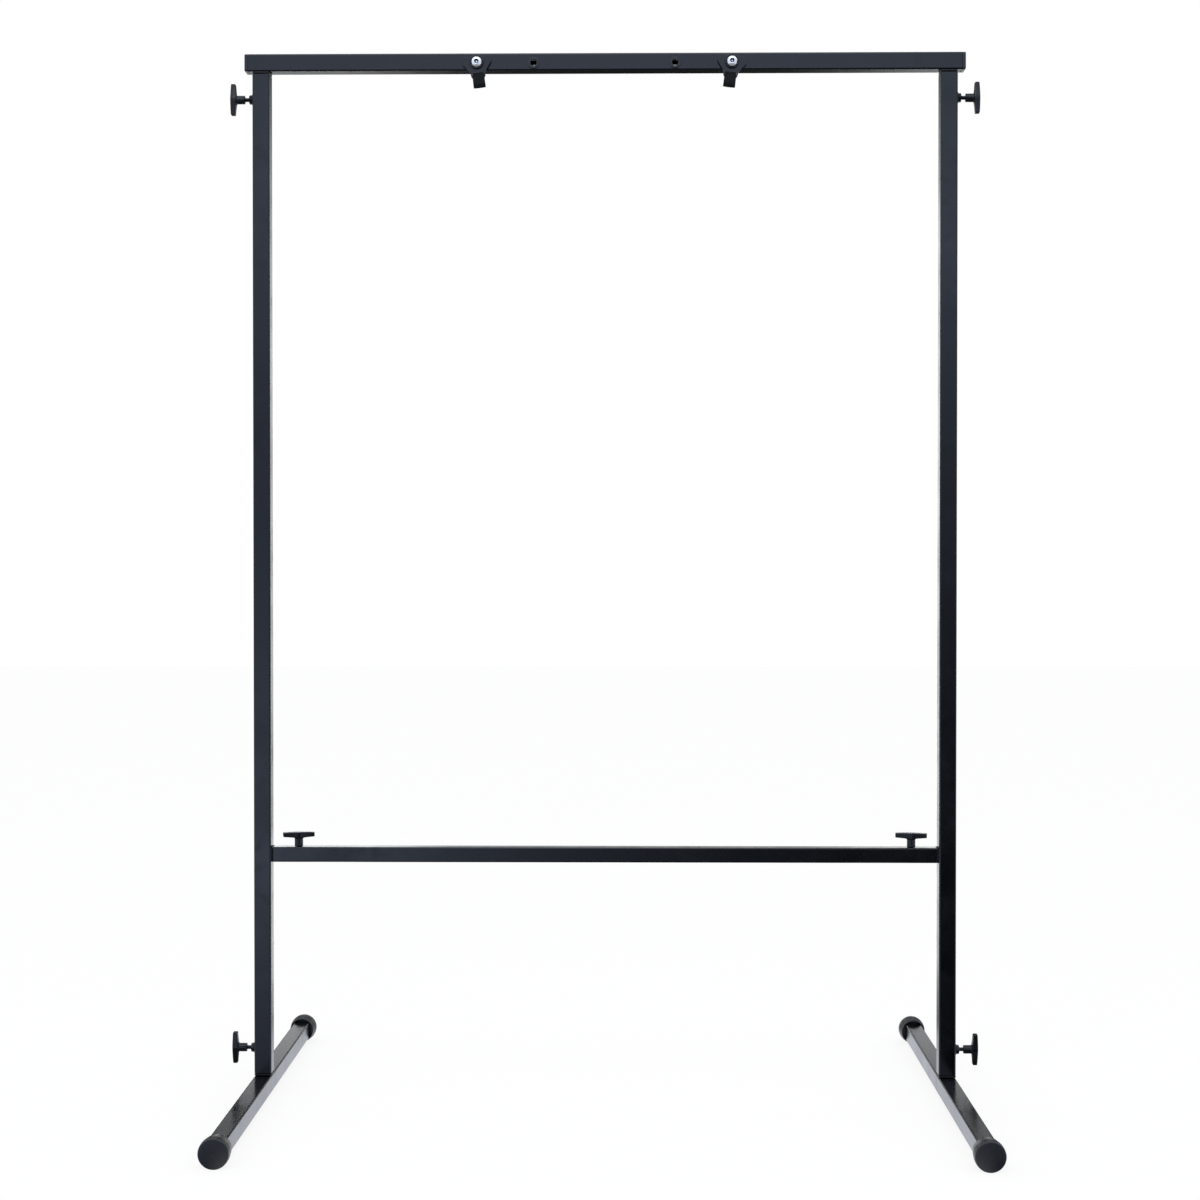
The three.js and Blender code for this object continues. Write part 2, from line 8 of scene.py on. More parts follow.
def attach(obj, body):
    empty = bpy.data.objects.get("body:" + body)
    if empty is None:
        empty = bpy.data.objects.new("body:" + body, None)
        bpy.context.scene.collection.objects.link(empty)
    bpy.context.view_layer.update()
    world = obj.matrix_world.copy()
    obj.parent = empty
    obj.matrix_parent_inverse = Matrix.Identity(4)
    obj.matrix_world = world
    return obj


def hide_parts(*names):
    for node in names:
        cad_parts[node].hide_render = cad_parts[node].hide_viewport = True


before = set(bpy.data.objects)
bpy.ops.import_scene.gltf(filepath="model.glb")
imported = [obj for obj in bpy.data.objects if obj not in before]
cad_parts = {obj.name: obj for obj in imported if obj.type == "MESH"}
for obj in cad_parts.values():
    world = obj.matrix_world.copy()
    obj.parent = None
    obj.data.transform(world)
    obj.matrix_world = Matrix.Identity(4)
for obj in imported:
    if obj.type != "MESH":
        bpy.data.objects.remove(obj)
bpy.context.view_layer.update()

# Lengths are millimetres in the local space of each piece, and metres in the scene.
MM = 0.001
X, Y, Z = Vector((1, 0, 0)), Vector((0, 1, 0)), Vector((0, 0, 1))
SIDES = {"left": -1, "right": 1}
SHARP = 1.2  # an edge whose faces turn by more than this many radians

# Square tubes
TUBE, TUBE_WALL, TUBE_CORNER = 25.0, 1.5, 2.2
BAR, BAR_WALL, BAR_CORNER = 22.0, 1.5, 2.0
CORNER_STEPS, SAWN_EDGE = 6, 0.35
HALF_FRAME = 511.0
UPRIGHT_X = HALF_FRAME - TUBE / 2
UPRIGHT_BOTTOM, UPRIGHT_TOP = 36.666, 1491.0
BEAM_Z, BEAM_HALF_LENGTH = 1507.5, 517.2
CROSSBAR_Z, CROSSBAR_END = 356.5, 483.0
FOOT_Z, FOOT_HALF_LENGTH = 20.166, 374.7
FOOT_TOP = FOOT_Z + TUBE / 2

# Stubs and weld beads
STUB, STUB_WALL, STUB_CORNER, STUB_LENGTH = 21.2, 1.5, 1.8, 83.4
BAR_STUB, BAR_STUB_LENGTH = 18.2, 72.4
BEAD_HEIGHT, BAR_BEAD_HEIGHT, BEAD_SPACING, BEAD_RIPPLE = 3.4, 2.4, 2.4, 0.065
BEAD_CORNER, BEAD_OVERHANG, BEAD_SINK = 2.2, 0.4, 0.1
SEAT_GAP, HAIR_GAP = 0.3, 0.05

# Clamp knobs
SCREW, PITCH, SCREW_CHAMFER, SCREW_HOLE = 6.0, 1.0, 0.7, 6.8
DRILL_LENGTH, DRILL_DEPTH, STUB_DRILL_DEPTH = 6.0, 3.5, 4.1
BORE_PLAY, NUT_CHAMFER, BORE_CHAMFER = 0.6, 0.9, 0.7
NUT_FLATS, NUT_HEIGHT, STUB_NUT_DEPTH = 12.0, 5.8, 3.7
RING_RADIUS, RING_THICKNESS, RING_RIPPLE, RING_SQUASH, RING_FOOT = 7.2, 1.4, 0.13, 0.85, -0.25
HUB, HUB_LENGTH, HUB_FLARE = 12.4, 11.8, 0.9
HUB_EDGE, HUB_GROOVE, HUB_FILLET, HUB_ROOF = 0.6, 0.12, 1.5, 1.5
WING_SPAN, WING_HEIGHT, WING_TIP_HEIGHT, WING_TIP_DEPTH, WING_CROWN = 45.6, 9.0, 6.5, 9.0, 0.7
WING_CUTS, WING_WAIST, WING_EDGE = 17, 1.35, 1.35
SIDE_SCREW_IN, SIDE_SCREW_OUT, BAR_SCREW_IN = 1.6, 6.5, 3.0
TOP_KNOB_Z, BOTTOM_KNOB_Z, BAR_KNOB_X = 1456.0, 72.266, 447.0
SIDE_TURNS = {"top_left": 3, "top_right": -4, "bottom_left": -2, "bottom_right": 5}
BAR_TURNS = {"left": 12, "right": -9}

# Boots and caps
BOOT_LENGTH, BOOT_RADIUS, BOOT_FLOOR = 30.0, 20.666, 5.0
BOOT_REACH = 380.0
CAP_FLANGE, CAP_CHAMFER, CAP_EDGE, CAP_INSERT, CAP_RIB, CAP_WALL = 5.0, 1.6, 0.25, 14.0, 0.5, 2.0

# Hangers and bushes
HANGER_X, SPARE_X, LEAN = 184.5, 102.5, 7
HOLE_DROP = 2.0
HOLE_Z = BEAM_Z - HOLE_DROP
BOLT, BOLT_PITCH, BOLT_CHAMFER, BOLT_HEAD, BOLT_HEAD_HEIGHT = 8.0, 1.25, 0.9, 14.8, 4.4
BOLT_HOLE, BOLT_NUT_FLATS, BOLT_NUT_HEIGHT = BOLT + 0.8, 13.0, 6.5
SOCKET_FLATS, SOCKET_DEPTH, SOCKET_MOUTH, HEAD_LAND = 5.6, 2.8, 0.9, 3.55
SPACER_BACK, PLATE_BACK, CUP_BACK, HEAD_BACK = 12.8, 16.1, 18.9, 21.2
NUT_BACK, BOLT_TAIL = 14.7, 23.5
PLATE, PLATE_HALF, PLATE_RISE, PLATE_DROP, PLATE_CORNER, PLATE_EDGE = 2.5, 21.0, 8.6, 1.0, 5.0, 0.4
SHOULDER_HALF, SHOULDER_DROP, TIP_HALF, TIP_DROP, TIP_CORNER = 11.7, 13.0, 9.7, 23.0, 2.2
SLOT_WIDTH, SLOT_HEIGHT, SLOT_BAR, SLOT_CORNER = 17.8, 2.8, 4.6, 1.2
STRAP_WIDTH, STRAP_THICKNESS, STRAP_TURN_Z = 17.0, 1.2, -18.3
STRAP_UPPER_RADIUS, STRAP_LOWER_RADIUS, STRAP_DROP = 1.65, 4.5, 13.6
STRAP_RIBS, STRAP_PICKS, YARN_STEPS, YARN_RISE = 12, 34, 6, 0.13
BUSH_BORE, BUSH_REAR_BORE, BUSH_OUTER, BUSH_FLANGE, BUSH_GAP = 8.8, 5.3, 11.0, 17.0, 0.1
SPACER, REAR_WASHER = (16.0, 3.0, 0.3), (17.0, 1.6, 0.25)  # diameter, thickness and rounding

# Camera and stage, in metres and degrees
CAMERA_PLACE, CAMERA_DOWN, CAMERA_LEFT, LENS = (0.0354, -3.0437, 0.7671), 0.743, 0.787, 62.63
FLOOR_REACH, FLOOR_WHITE = 14, 0.87


# ---------------------------------------------------------------- mesh helpers

def turn(degrees, axis):
    return Matrix.Rotation(math.radians(degrees), 4, axis)


def at(x, y, z, *turns):
    """A place in the frame, with turns applied one inside the next."""
    placed = Matrix.Translation((x, y, z))
    for step in turns:
        placed = placed @ step
    return placed


def moved(bm, matrix):
    bmesh.ops.transform(bm, matrix=matrix, verts=bm.verts)
    return bm


def bevelled(bm, geom, size, segments, affect="EDGES"):
    bmesh.ops.bevel(bm, geom=geom, offset=size, offset_type="OFFSET", segments=segments,
                    profile=0.5, affect=affect, clamp_overlap=True, material=-1)
    return bm


def edges_along(bm, axis):
    return [e for e in bm.edges if (e.verts[1].co - e.verts[0].co).normalized().cross(axis).length < 1e-4]


def block(width, depth, height):
    """A box with its foot centred on the origin."""
    bm = bmesh.new()
    bmesh.ops.create_cube(bm, size=1)
    bmesh.ops.scale(bm, vec=(width, depth, height), verts=bm.verts)
    bmesh.ops.translate(bm, vec=(0, 0, height / 2), verts=bm.verts)
    return bm


def square_bar(size, corner, length):
    bm = block(size, size, length)
    return bevelled(bm, edges_along(bm, Z), corner, CORNER_STEPS)


def square_tube(size, wall, corner, length):
    """An open tube from z = 0 up, with its sawn ends slightly rounded."""
    bm = square_bar(size, corner, length)
    ends = [f for f in bm.faces if abs(f.normal.z) > 0.9]
    bmesh.ops.delete(bm, geom=ends, context="FACES_ONLY")
    bmesh.ops.recalc_face_normals(bm, faces=bm.faces)
    bmesh.ops.solidify(bm, geom=bm.faces[:], thickness=wall)
    outer = [e for e in bm.edges
             if abs(e.verts[0].co.z - e.verts[1].co.z) < 1e-4
             and max(abs(v) for p in e.verts for v in p.co.xy) > size / 2 - corner
             and e.calc_face_angle(0) > SHARP
             and e.verts[0].co.xy.length > size / 2 - 0.01]
    return bevelled(bm, outer, SAWN_EDGE, 2)


def spun(profile, steps=48):
    """A turned body about Z from pairs of radius and height."""
    bm = bmesh.new()
    points = [bm.verts.new((r, 0, h)) for r, h in profile]
    edges = [bm.edges.new(pair) for pair in zip(points, points[1:])]
    bmesh.ops.spin(bm, geom=points + edges, cent=(0, 0, 0), axis=Z, dvec=(0, 0, 0),
                   angle=math.tau, steps=steps, use_merge=True, use_duplicate=False)
    bmesh.ops.remove_doubles(bm, verts=bm.verts, dist=1e-4)
    bmesh.ops.recalc_face_normals(bm, faces=bm.faces)
    return bm


def arc(centre_r, centre_h, size, start, end, steps=5):
    """Points of a rounding, as pairs of radius and height."""
    angles = [math.radians(start + (end - start) * i / steps) for i in range(steps + 1)]
    return [(centre_r + size * math.cos(a), centre_h + size * math.sin(a)) for a in angles]


def hexagon(flats, height):
    bm = bmesh.new()
    r = flats / math.sqrt(3)
    bmesh.ops.create_cone(bm, cap_ends=True, segments=6, radius1=r, radius2=r, depth=height)
    bmesh.ops.translate(bm, vec=(0, 0, height / 2), verts=bm.verts)
    return bm


def sliced(bm, plane, normal):
    """Takes away what lies beyond a plane, on the side of its normal."""
    bmesh.ops.bisect_plane(bm, geom=bm.verts[:] + bm.edges[:] + bm.faces[:], dist=1e-5,
                           plane_co=plane, plane_no=normal, clear_outer=True)


def new_object(name, data):
    obj = bpy.data.objects.new(name, data)
    bpy.context.scene.collection.objects.link(obj)
    return obj


def as_object(bm, name="tool"):
    mesh = bpy.data.meshes.new(name)
    bm.to_mesh(mesh)
    bm.free()
    return new_object(name, mesh)


def settled(obj):
    """The mesh of an object with its modifiers or its curve worked out."""
    evaluated = obj.evaluated_get(bpy.context.evaluated_depsgraph_get())
    bm = bmesh.new()
    bm.from_mesh(evaluated.to_mesh())
    evaluated.to_mesh_clear()
    return bm


def combined(operation, body, *tools):
    """The body cut by, joined with or kept inside each tool in turn."""
    base = as_object(body, "base")
    helpers = [as_object(t) for t in tools]
    for helper in helpers:
        step = base.modifiers.new("step", "BOOLEAN")
        step.operation = operation
        step.solver = "EXACT"
        step.object = helper
    result = settled(base)
    for used in [base] + helpers:
        mesh = used.data
        bpy.data.objects.remove(used)
        bpy.data.meshes.remove(mesh)
    bmesh.ops.remove_doubles(result, verts=result.verts, dist=1e-4)
    bmesh.ops.dissolve_degenerate(result, edges=result.edges, dist=1e-4)
    return result


def cut(body, *tools):
    return combined("DIFFERENCE", body, *tools)


def together(*parts):
    """Several bodies in one mesh, without joining their surfaces."""
    whole = bmesh.new()
    for part in parts:
        mesh = bpy.data.meshes.new("part")
        part.to_mesh(mesh)
        part.free()
        whole.from_mesh(mesh)
        bpy.data.meshes.remove(mesh)
    return whole


def rod(diameter, length, chamfer=0.0, steps=48):
    r = diameter / 2
    if not chamfer:
        return spun([(0, 0), (r, 0), (r, length), (0, length)], steps)
    return spun([(0, 0), (r - chamfer, 0), (r, chamfer), (r, length - chamfer),
                 (r - chamfer, length), (0, length)], steps)


def threaded(diameter, pitch, length, chamfer):
    """A rod with a real helical thread, from z = 0 up."""
    steps, r, deep = 20, diameter / 2, 0.58 * pitch
    turns = int(length / pitch) + 3
    bm = bmesh.new()
    profile = [(r, 0), (r, 0.12 * pitch), (r - deep, 0.46 * pitch), (r - deep, 0.62 * pitch), (r, pitch)]
    points = [bm.verts.new((x, 0, z - pitch)) for x, z in profile]
    edges = [bm.edges.new(pair) for pair in zip(points, points[1:])]
    bmesh.ops.spin(bm, geom=points + edges, cent=(0, 0, 0), axis=Z, dvec=(0, 0, pitch / steps),
                   angle=math.tau * turns, steps=steps * turns, use_merge=False, use_duplicate=False)
    bmesh.ops.remove_doubles(bm, verts=bm.verts, dist=1e-3)
    for height, normal in ((0, -Z), (length, Z)):
        sliced(bm, (0, 0, height), normal)
        rim = [e for e in bm.edges if e.is_boundary and abs(e.verts[0].co.z - height) < 1e-3
               and abs(e.verts[1].co.z - height) < 1e-3]
        bmesh.ops.edgeloop_fill(bm, edges=rim)
    bmesh.ops.recalc_face_normals(bm, faces=bm.faces)
    return combined("INTERSECT", bm, rod(diameter + 0.02, length, chamfer, 40))


def bead(path, thickness, ripple):
    """A weld bead along a closed path of points, with soft ripples and uneven lumps."""
    curve = bpy.data.curves.new("bead", "CURVE")
    curve.dimensions = "3D"
    curve.bevel_depth = thickness
    curve.bevel_resolution = 3
    curve.use_fill_caps = False
    line = curve.splines.new("POLY")
    line.points.add(len(path) - 1)
    line.use_cyclic_u = True
    run = 0.0
    for i, point in enumerate(path):
        run += (Vector(path[i]) - Vector(path[i - 1])).length if i else 0.0
        line.points[i].co = (*point, 1)
        drift, depth = 1.4 * math.sin(run * 0.21), 0.6 + 0.4 * math.sin(run * 0.47)
        wave = math.cos(math.tau * run / BEAD_SPACING + drift) * depth
        lumps = math.sin(run * 0.37 + 1.0) + 0.7 * math.sin(run * 0.83) + 0.5 * math.sin(run * 0.149 + 2.0)
        line.points[i].radius = 1 + ripple * (0.35 * wave + 0.6 * lumps)
    obj = new_object("bead", curve)
    bm = settled(obj)
    bpy.data.objects.remove(obj)
    bpy.data.curves.remove(curve)
    bmesh.ops.remove_doubles(bm, verts=bm.verts, dist=1e-4)
    bmesh.ops.recalc_face_normals(bm, faces=bm.faces)
    return bm


def square_path(half, corner, height):
    """Closely spaced points round a rounded square."""
    step, corner_steps = 0.25, 8
    flat = half - corner
    points = []
    for quarter in range(4):
        spin = Matrix.Rotation(math.radians(90 * quarter), 3, "Z")
        for i in range(int(2 * flat / step)):
            points.append(spin @ Vector((half, -flat + i * step, height)))
        for i in range(corner_steps):
            angle = math.radians(90 * i / corner_steps)
            points.append(spin @ Vector((flat + corner * math.cos(angle),
                                         flat + corner * math.sin(angle), height)))
    return points


def round_path(radius, height):
    count = 150
    angles = [math.tau * i / count for i in range(count)]
    return [Vector((radius * math.cos(a), radius * math.sin(a), height)) for a in angles]


# ------------------------------------------------------------------- materials

FLOAT, VECTOR = "NodeSocketFloat", "NodeSocketVector"
COAT_DEPTH, METAL_DEPTH, WEAVE_DEPTH = 0.0004, 0.0002, 0.00012  # of the surface relief, in metres


def feed(tree, value, socket):
    """Links a socket to another one's output, or sets it to a plain value."""
    if isinstance(value, bpy.types.NodeSocket):
        tree.links.new(value, socket)
    else:
        socket.default_value = value


def new_group(name, inputs, outputs):
    tree = bpy.data.node_groups.new(name, "ShaderNodeTree")
    for label, kind, value in inputs:
        socket = tree.interface.new_socket(label, in_out="INPUT", socket_type=kind)
        if value is not None:
            socket.default_value = value
    for label, kind in outputs:
        tree.interface.new_socket(label, in_out="OUTPUT", socket_type=kind)
    return tree, tree.nodes.new("NodeGroupInput"), tree.nodes.new("NodeGroupOutput")


def math_node(tree, kind, *values):
    node = tree.nodes.new("ShaderNodeMath")
    node.operation = kind
    for value, socket in zip(values, node.inputs):
        feed(tree, value, socket)
    return node.outputs[0]


def noise_node(tree, vector, scale, detail=2.0, roughness=0.5):
    node = tree.nodes.new("ShaderNodeTexNoise")
    for label, value in (("Vector", vector), ("Scale", scale), ("Detail", detail), ("Roughness", roughness)):
        feed(tree, value, node.inputs[label])
    return node.outputs["Fac"]


def spread(tree, value, low, high, to_low, to_high):
    """A value taken smoothly from one range to another."""
    node = tree.nodes.new("ShaderNodeMapRange")
    node.interpolation_type = "SMOOTHSTEP"
    for label, number in (("Value", value), ("From Min", low), ("From Max", high), ("To Min", to_low),
                          ("To Max", to_high)):
        feed(tree, number, node.inputs[label])
    return node.outputs["Result"]


def blend_colour(tree, factor, a, b):
    node = tree.nodes.new("ShaderNodeMix")
    node.data_type = "RGBA"
    tree.links.new(factor, node.inputs["Factor"])
    for slot, value in ((6, a), (7, b)):
        feed(tree, (*value, 1) if isinstance(value, tuple) else value, node.inputs[slot])
    return node.outputs[2]


def split(tree, vector):
    """The three parts of a vector."""
    node = tree.nodes.new("ShaderNodeSeparateXYZ")
    tree.links.new(vector, node.inputs["Vector"])
    return node.outputs


def coat_texture_group():
    """The skin of a coating: orange peel, fine grain and slow patches of gloss."""
    tree, source, result = new_group(
        "coat_texture",
        [("Vector", VECTOR, None), ("Peel Scale", FLOAT, 700.0), ("Grain Scale", FLOAT, 4200.0),
         ("Grain Share", FLOAT, 0.25)],
        [("Height", FLOAT), ("Patches", FLOAT)])
    vector = source.outputs["Vector"]
    peel = noise_node(tree, vector, source.outputs["Peel Scale"], 1.5, 0.4)
    grain = noise_node(tree, vector, source.outputs["Grain Scale"], 1.0, 0.5)
    share = math_node(tree, "MULTIPLY", grain, source.outputs["Grain Share"])
    tree.links.new(math_node(tree, "ADD", peel, share), result.inputs["Height"])
    tree.links.new(noise_node(tree, vector, 9.0, 4.0, 0.6), result.inputs["Patches"])
    return tree


def dust_group():
    """Thin dust that settles on faces that look up, in loose drifts."""
    tree, source, result = new_group(
        "dust", [("Vector", VECTOR, None), ("Amount", FLOAT, 0.3)], [("Mask", FLOAT)])
    vector = source.outputs["Vector"]
    parts = split(tree, tree.nodes.new("ShaderNodeNewGeometry").outputs["Normal"])
    up = spread(tree, parts["Z"], 0.2, 1.0, 0.0, 1.0)
    drifts = spread(tree, noise_node(tree, vector, 26.0, 6.0, 0.62), 0.42, 0.72, 0.15, 1.0)
    specks = spread(tree, noise_node(tree, vector, 1900.0, 1.0), 0.6, 0.72, 0.0, 0.7)
    amount = math_node(tree, "MULTIPLY", math_node(tree, "MULTIPLY", up, drifts), source.outputs["Amount"])
    tree.links.new(math_node(tree, "MULTIPLY_ADD", specks, amount, amount), result.inputs["Mask"])
    return tree


def smudge_group():
    """Faint handling marks: soft smears and short fine scratches."""
    tree, source, result = new_group(
        "smudges", [("Vector", VECTOR, None), ("Stretch", VECTOR, (1.0, 1.0, 1.0))],
        [("Smears", FLOAT), ("Scratches", FLOAT)])
    stretched = tree.nodes.new("ShaderNodeVectorMath")
    stretched.operation = "MULTIPLY"
    tree.links.new(source.outputs["Vector"], stretched.inputs[0])
    tree.links.new(source.outputs["Stretch"], stretched.inputs[1])
    smears = spread(tree, noise_node(tree, source.outputs["Vector"], 38.0, 3.0, 0.55), 0.5, 0.75, 0.0, 1.0)
    fine = noise_node(tree, stretched.outputs["Vector"], 900.0, 2.0, 0.5)
    tree.links.new(smears, result.inputs["Smears"])
    tree.links.new(spread(tree, fine, 0.68, 0.74, 0.0, 1.0), result.inputs["Scratches"])
    return tree


COAT = coat_texture_group()
DUST = dust_group()
SMUDGES = smudge_group()


def placed_group(tree, group, vector, **values):
    node = tree.nodes.new("ShaderNodeGroup")
    node.node_tree = group
    tree.links.new(vector, node.inputs["Vector"])
    for label, value in values.items():
        node.inputs[label.replace("_", " ")].default_value = value
    return node


def bump_node(tree, height, strength, distance):
    node = tree.nodes.new("ShaderNodeBump")
    node.inputs["Strength"].default_value = strength
    node.inputs["Distance"].default_value = distance
    tree.links.new(height, node.inputs["Height"])
    return node.outputs["Normal"]


def new_material(name, **fixed):
    """A material, its nodes and its shader, with plain values on some of the shader's sockets."""
    material = bpy.data.materials.new(name)
    material.use_nodes = True
    shader = material.node_tree.nodes["Principled BSDF"]
    for label, value in fixed.items():
        shader.inputs[label.replace("_", " ")].default_value = value
    return material, material.node_tree, shader


def coated(name, colour, tone, dust_colour, rough, peel=700.0, grain=4200.0, grain_share=0.25,
           relief=0.12, dust=0.2, stretch=(1.0, 1.0, 1.0), **fixed):
    """A dark coated or moulded finish. rough gives the lowest and the highest roughness."""
    material, tree, shader = new_material(name, **fixed)
    vector = tree.nodes.new("ShaderNodeTexCoord").outputs["Object"]
    skin = placed_group(tree, COAT, vector, Peel_Scale=peel, Grain_Scale=grain, Grain_Share=grain_share)
    marks = placed_group(tree, SMUDGES, vector, Stretch=stretch)
    film = placed_group(tree, DUST, vector, Amount=dust)
    base = blend_colour(tree, spread(tree, skin.outputs["Patches"], 0.3, 0.7, 0.0, 1.0), colour, tone)
    base = blend_colour(tree, film.outputs["Mask"], base, dust_colour)
    tree.links.new(base, shader.inputs["Base Color"])
    gloss = spread(tree, skin.outputs["Patches"], 0.25, 0.75, *rough)
    gloss = math_node(tree, "MULTIPLY_ADD", marks.outputs["Smears"], 0.05, gloss)
    gloss = math_node(tree, "MULTIPLY_ADD", film.outputs["Mask"], 0.3, gloss)
    tree.links.new(gloss, shader.inputs["Roughness"])
    height = math_node(tree, "MULTIPLY_ADD", marks.outputs["Scratches"], -0.12, skin.outputs["Height"])
    tree.links.new(bump_node(tree, height, relief, COAT_DEPTH), shader.inputs["Normal"])
    return material


def metal(name, colour, tone, rough, turning=4200.0, relief=0.2, metallic=1.0):
    """A bare or plated metal with fine turning lines."""
    material, tree, shader = new_material(name, Metallic=metallic)
    vector = tree.nodes.new("ShaderNodeTexCoord").outputs["Object"]
    skin = placed_group(tree, COAT, vector, Peel_Scale=1600.0, Grain_Scale=turning, Grain_Share=0.8)
    marks = placed_group(tree, SMUDGES, vector, Stretch=(0.2, 1.0, 1.0))
    base = blend_colour(tree, spread(tree, skin.outputs["Patches"], 0.35, 0.7, 0.0, 1.0), colour, tone)
    base = blend_colour(tree, math_node(tree, "MULTIPLY", marks.outputs["Smears"], 0.25), base, tone)
    tree.links.new(base, shader.inputs["Base Color"])
    gloss = spread(tree, skin.outputs["Height"], 0.3, 0.9, *rough)
    gloss = math_node(tree, "MULTIPLY_ADD", marks.outputs["Scratches"], 0.08, gloss)
    tree.links.new(gloss, shader.inputs["Roughness"])
    tree.links.new(bump_node(tree, skin.outputs["Height"], relief, METAL_DEPTH), shader.inputs["Normal"])
    return material


def woven(name, colour, highlight):
    """Nylon webbing on the strap's own UV map, with each yarn's fine twist in its relief. Its colour holds
    painted light: paler yarn tops as a painted highlight and darker gaps as painted shade.
    """
    material, tree, shader = new_material(name, Sheen_Weight=0.03, Sheen_Roughness=0.4,
                                          Specular_IOR_Level=0.25)
    uv = tree.nodes.new("ShaderNodeUVMap")
    uv.uv_map = "weave"
    u, v, _ = split(tree, uv.outputs["UV"])

    def wave(turns):
        return math_node(tree, "SINE", math_node(tree, "MULTIPLY", turns, math.tau))

    checks = math_node(tree, "MULTIPLY", wave(u), wave(v))
    twist = wave(math_node(tree, "MULTIPLY_ADD", u, 5.0, math_node(tree, "MULTIPLY", v, 7.0)))
    fuzz = noise_node(tree, uv.outputs["UV"], 9.0, 4.0, 0.7)
    # Painted light: the yarn tops take the paler colour as a painted highlight and the gaps between them the
    # darker one as painted shade, broken up by the fuzz.
    tops = spread(tree, checks, -0.6, 0.8, 0.0, 1.0)
    shade = math_node(tree, "MULTIPLY", tops, spread(tree, fuzz, 0.3, 0.7, 0.4, 1.0))
    tree.links.new(blend_colour(tree, shade, colour, highlight), shader.inputs["Base Color"])
    tree.links.new(spread(tree, fuzz, 0.2, 0.8, 0.62, 0.86), shader.inputs["Roughness"])
    height = math_node(tree, "MULTIPLY_ADD", twist, 0.25, math_node(tree, "MULTIPLY_ADD", fuzz, 0.4, checks))
    tree.links.new(bump_node(tree, height, 0.6, WEAVE_DEPTH), shader.inputs["Normal"])
    return material


# The finish of each slot
FINISH = {
    "tube_paint": coated(
        "tube_coat", (0.0007, 0.0008, 0.0011), (0.001, 0.0011, 0.0015), (0.05, 0.05, 0.055), (0.16, 0.23),
        relief=0.015, dust=0.02, stretch=(1.0, 1.0, 0.12)),
    "weld_paint": coated(
        "weld_coat", (0.0012, 0.0013, 0.0017), (0.002, 0.0022, 0.0027), (0.05, 0.05, 0.05), (0.3, 0.42),
        peel=520.0, relief=0.14, dust=0.03, Specular_IOR_Level=0.3),
    "plate_steel": coated(
        "plate_coat", (0.0018, 0.002, 0.003), (0.0026, 0.0029, 0.004), (0.05, 0.05, 0.055), (0.22, 0.3),
        peel=900.0, relief=0.06, dust=0.02),
    "knob_plastic": coated(
        "knob_nylon", (0.0018, 0.0018, 0.0022), (0.003, 0.003, 0.0035), (0.05, 0.05, 0.05), (0.17, 0.28),
        peel=1500.0, grain=5200.0, relief=0.1, dust=0.04, Specular_IOR_Level=0.4),
    "cap_plastic": coated(
        "cap_plastic", (0.006, 0.0064, 0.0078), (0.0085, 0.009, 0.0105), (0.06, 0.06, 0.06), (0.2, 0.28),
        peel=2400.0, grain=6000.0, grain_share=0.5, relief=0.12, dust=0.04),
    "boot_rubber": coated(
        "boot_rubber", (0.0038, 0.004, 0.005), (0.0058, 0.006, 0.0074), (0.07, 0.07, 0.07), (0.32, 0.45),
        peel=1300.0, grain=3600.0, grain_share=0.6, relief=0.22, dust=0.14),
    "washer_rubber": coated(
        "washer_rubber", (0.002, 0.002, 0.0022), (0.0035, 0.0035, 0.0038), (0.05, 0.05, 0.05), (0.36, 0.5),
        peel=1900.0, relief=0.12, dust=0.03),
    "bolt_zinc": metal(
        "bright_zinc", (0.9, 0.9, 0.91), (0.78, 0.79, 0.81), (0.14, 0.26),
        turning=5200.0, relief=0.12, metallic=0.75),
    "screw_steel": metal("black_oxide", (0.075, 0.075, 0.08), (0.045, 0.045, 0.05), (0.28, 0.42)),
    # The strap's dark nylon, then the paler colour painted on its yarn tops as a painted highlight.
    "strap_webbing": woven("strap_nylon", (0.0008, 0.0008, 0.001), (0.0045, 0.0047, 0.0056))}
# A darker metal for the mouth, walls and floor of the bolt's hex socket: painted shade in the recess, not a
# finish of its own.
SOCKET_PAINTED_SHADE = metal("socket_painted_shade", (0.06, 0.06, 0.065), (0.03, 0.03, 0.033), (0.3, 0.45))


# --------------------------------------------------------------------- placing

def piece(name, bm, place, body, slot, node, crease=32, inner=None):
    """A finished piece: placed in the frame, shaded, and riding on its body. Faces marked 1 take the inner
    material, such as the darker metal that paints shade into a bolt's socket."""
    moved(bm, Matrix.Scale(MM, 4) @ place)
    obj = as_object(bm, name)
    obj.data.materials.append(FINISH[slot])
    if inner:
        obj.data.materials.append(inner)
    obj.data.shade_smooth()
    obj.data.set_sharp_from_angle(angle=math.radians(crease))
    weights = obj.modifiers.new("even_shading", "WEIGHTED_NORMAL")
    weights.keep_sharp = True
    weights.weight = 90
    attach(obj, body)
    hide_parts(node)


# ----------------------------------------------------------------------- tubes

def screw_drill(half_tube, depth=DRILL_DEPTH):
    """Drills a screw hole in the wall whose outer face is half a tube above the origin."""
    return moved(rod(SCREW_HOLE, DRILL_LENGTH), at(0, 0, half_tube - depth))


def upright(side):
    tube = square_tube(TUBE, TUBE_WALL, TUBE_CORNER, UPRIGHT_TOP - UPRIGHT_BOTTOM)
    holes = [moved(screw_drill(TUBE / 2), at(0, 0, z - UPRIGHT_BOTTOM, turn(90 * side, Y)))
             for z in (TOP_KNOB_Z, BOTTOM_KNOB_Z)]
    return cut(tube, *holes)


def beam_tube():
    tube = square_tube(TUBE, TUBE_WALL, TUBE_CORNER, 2 * BEAM_HALF_LENGTH)
    moved(tube, turn(90, Y) @ Matrix.Translation((0, 0, -BEAM_HALF_LENGTH)))
    holes = [moved(rod(size, 40.0), at(side * x, 20.0, -HOLE_DROP, turn(90, X)))
             for x, size in ((HANGER_X, BOLT_HOLE), (SPARE_X, BUSH_OUTER + 2 * SEAT_GAP)) for side in (-1, 1)]
    return cut(tube, *holes)


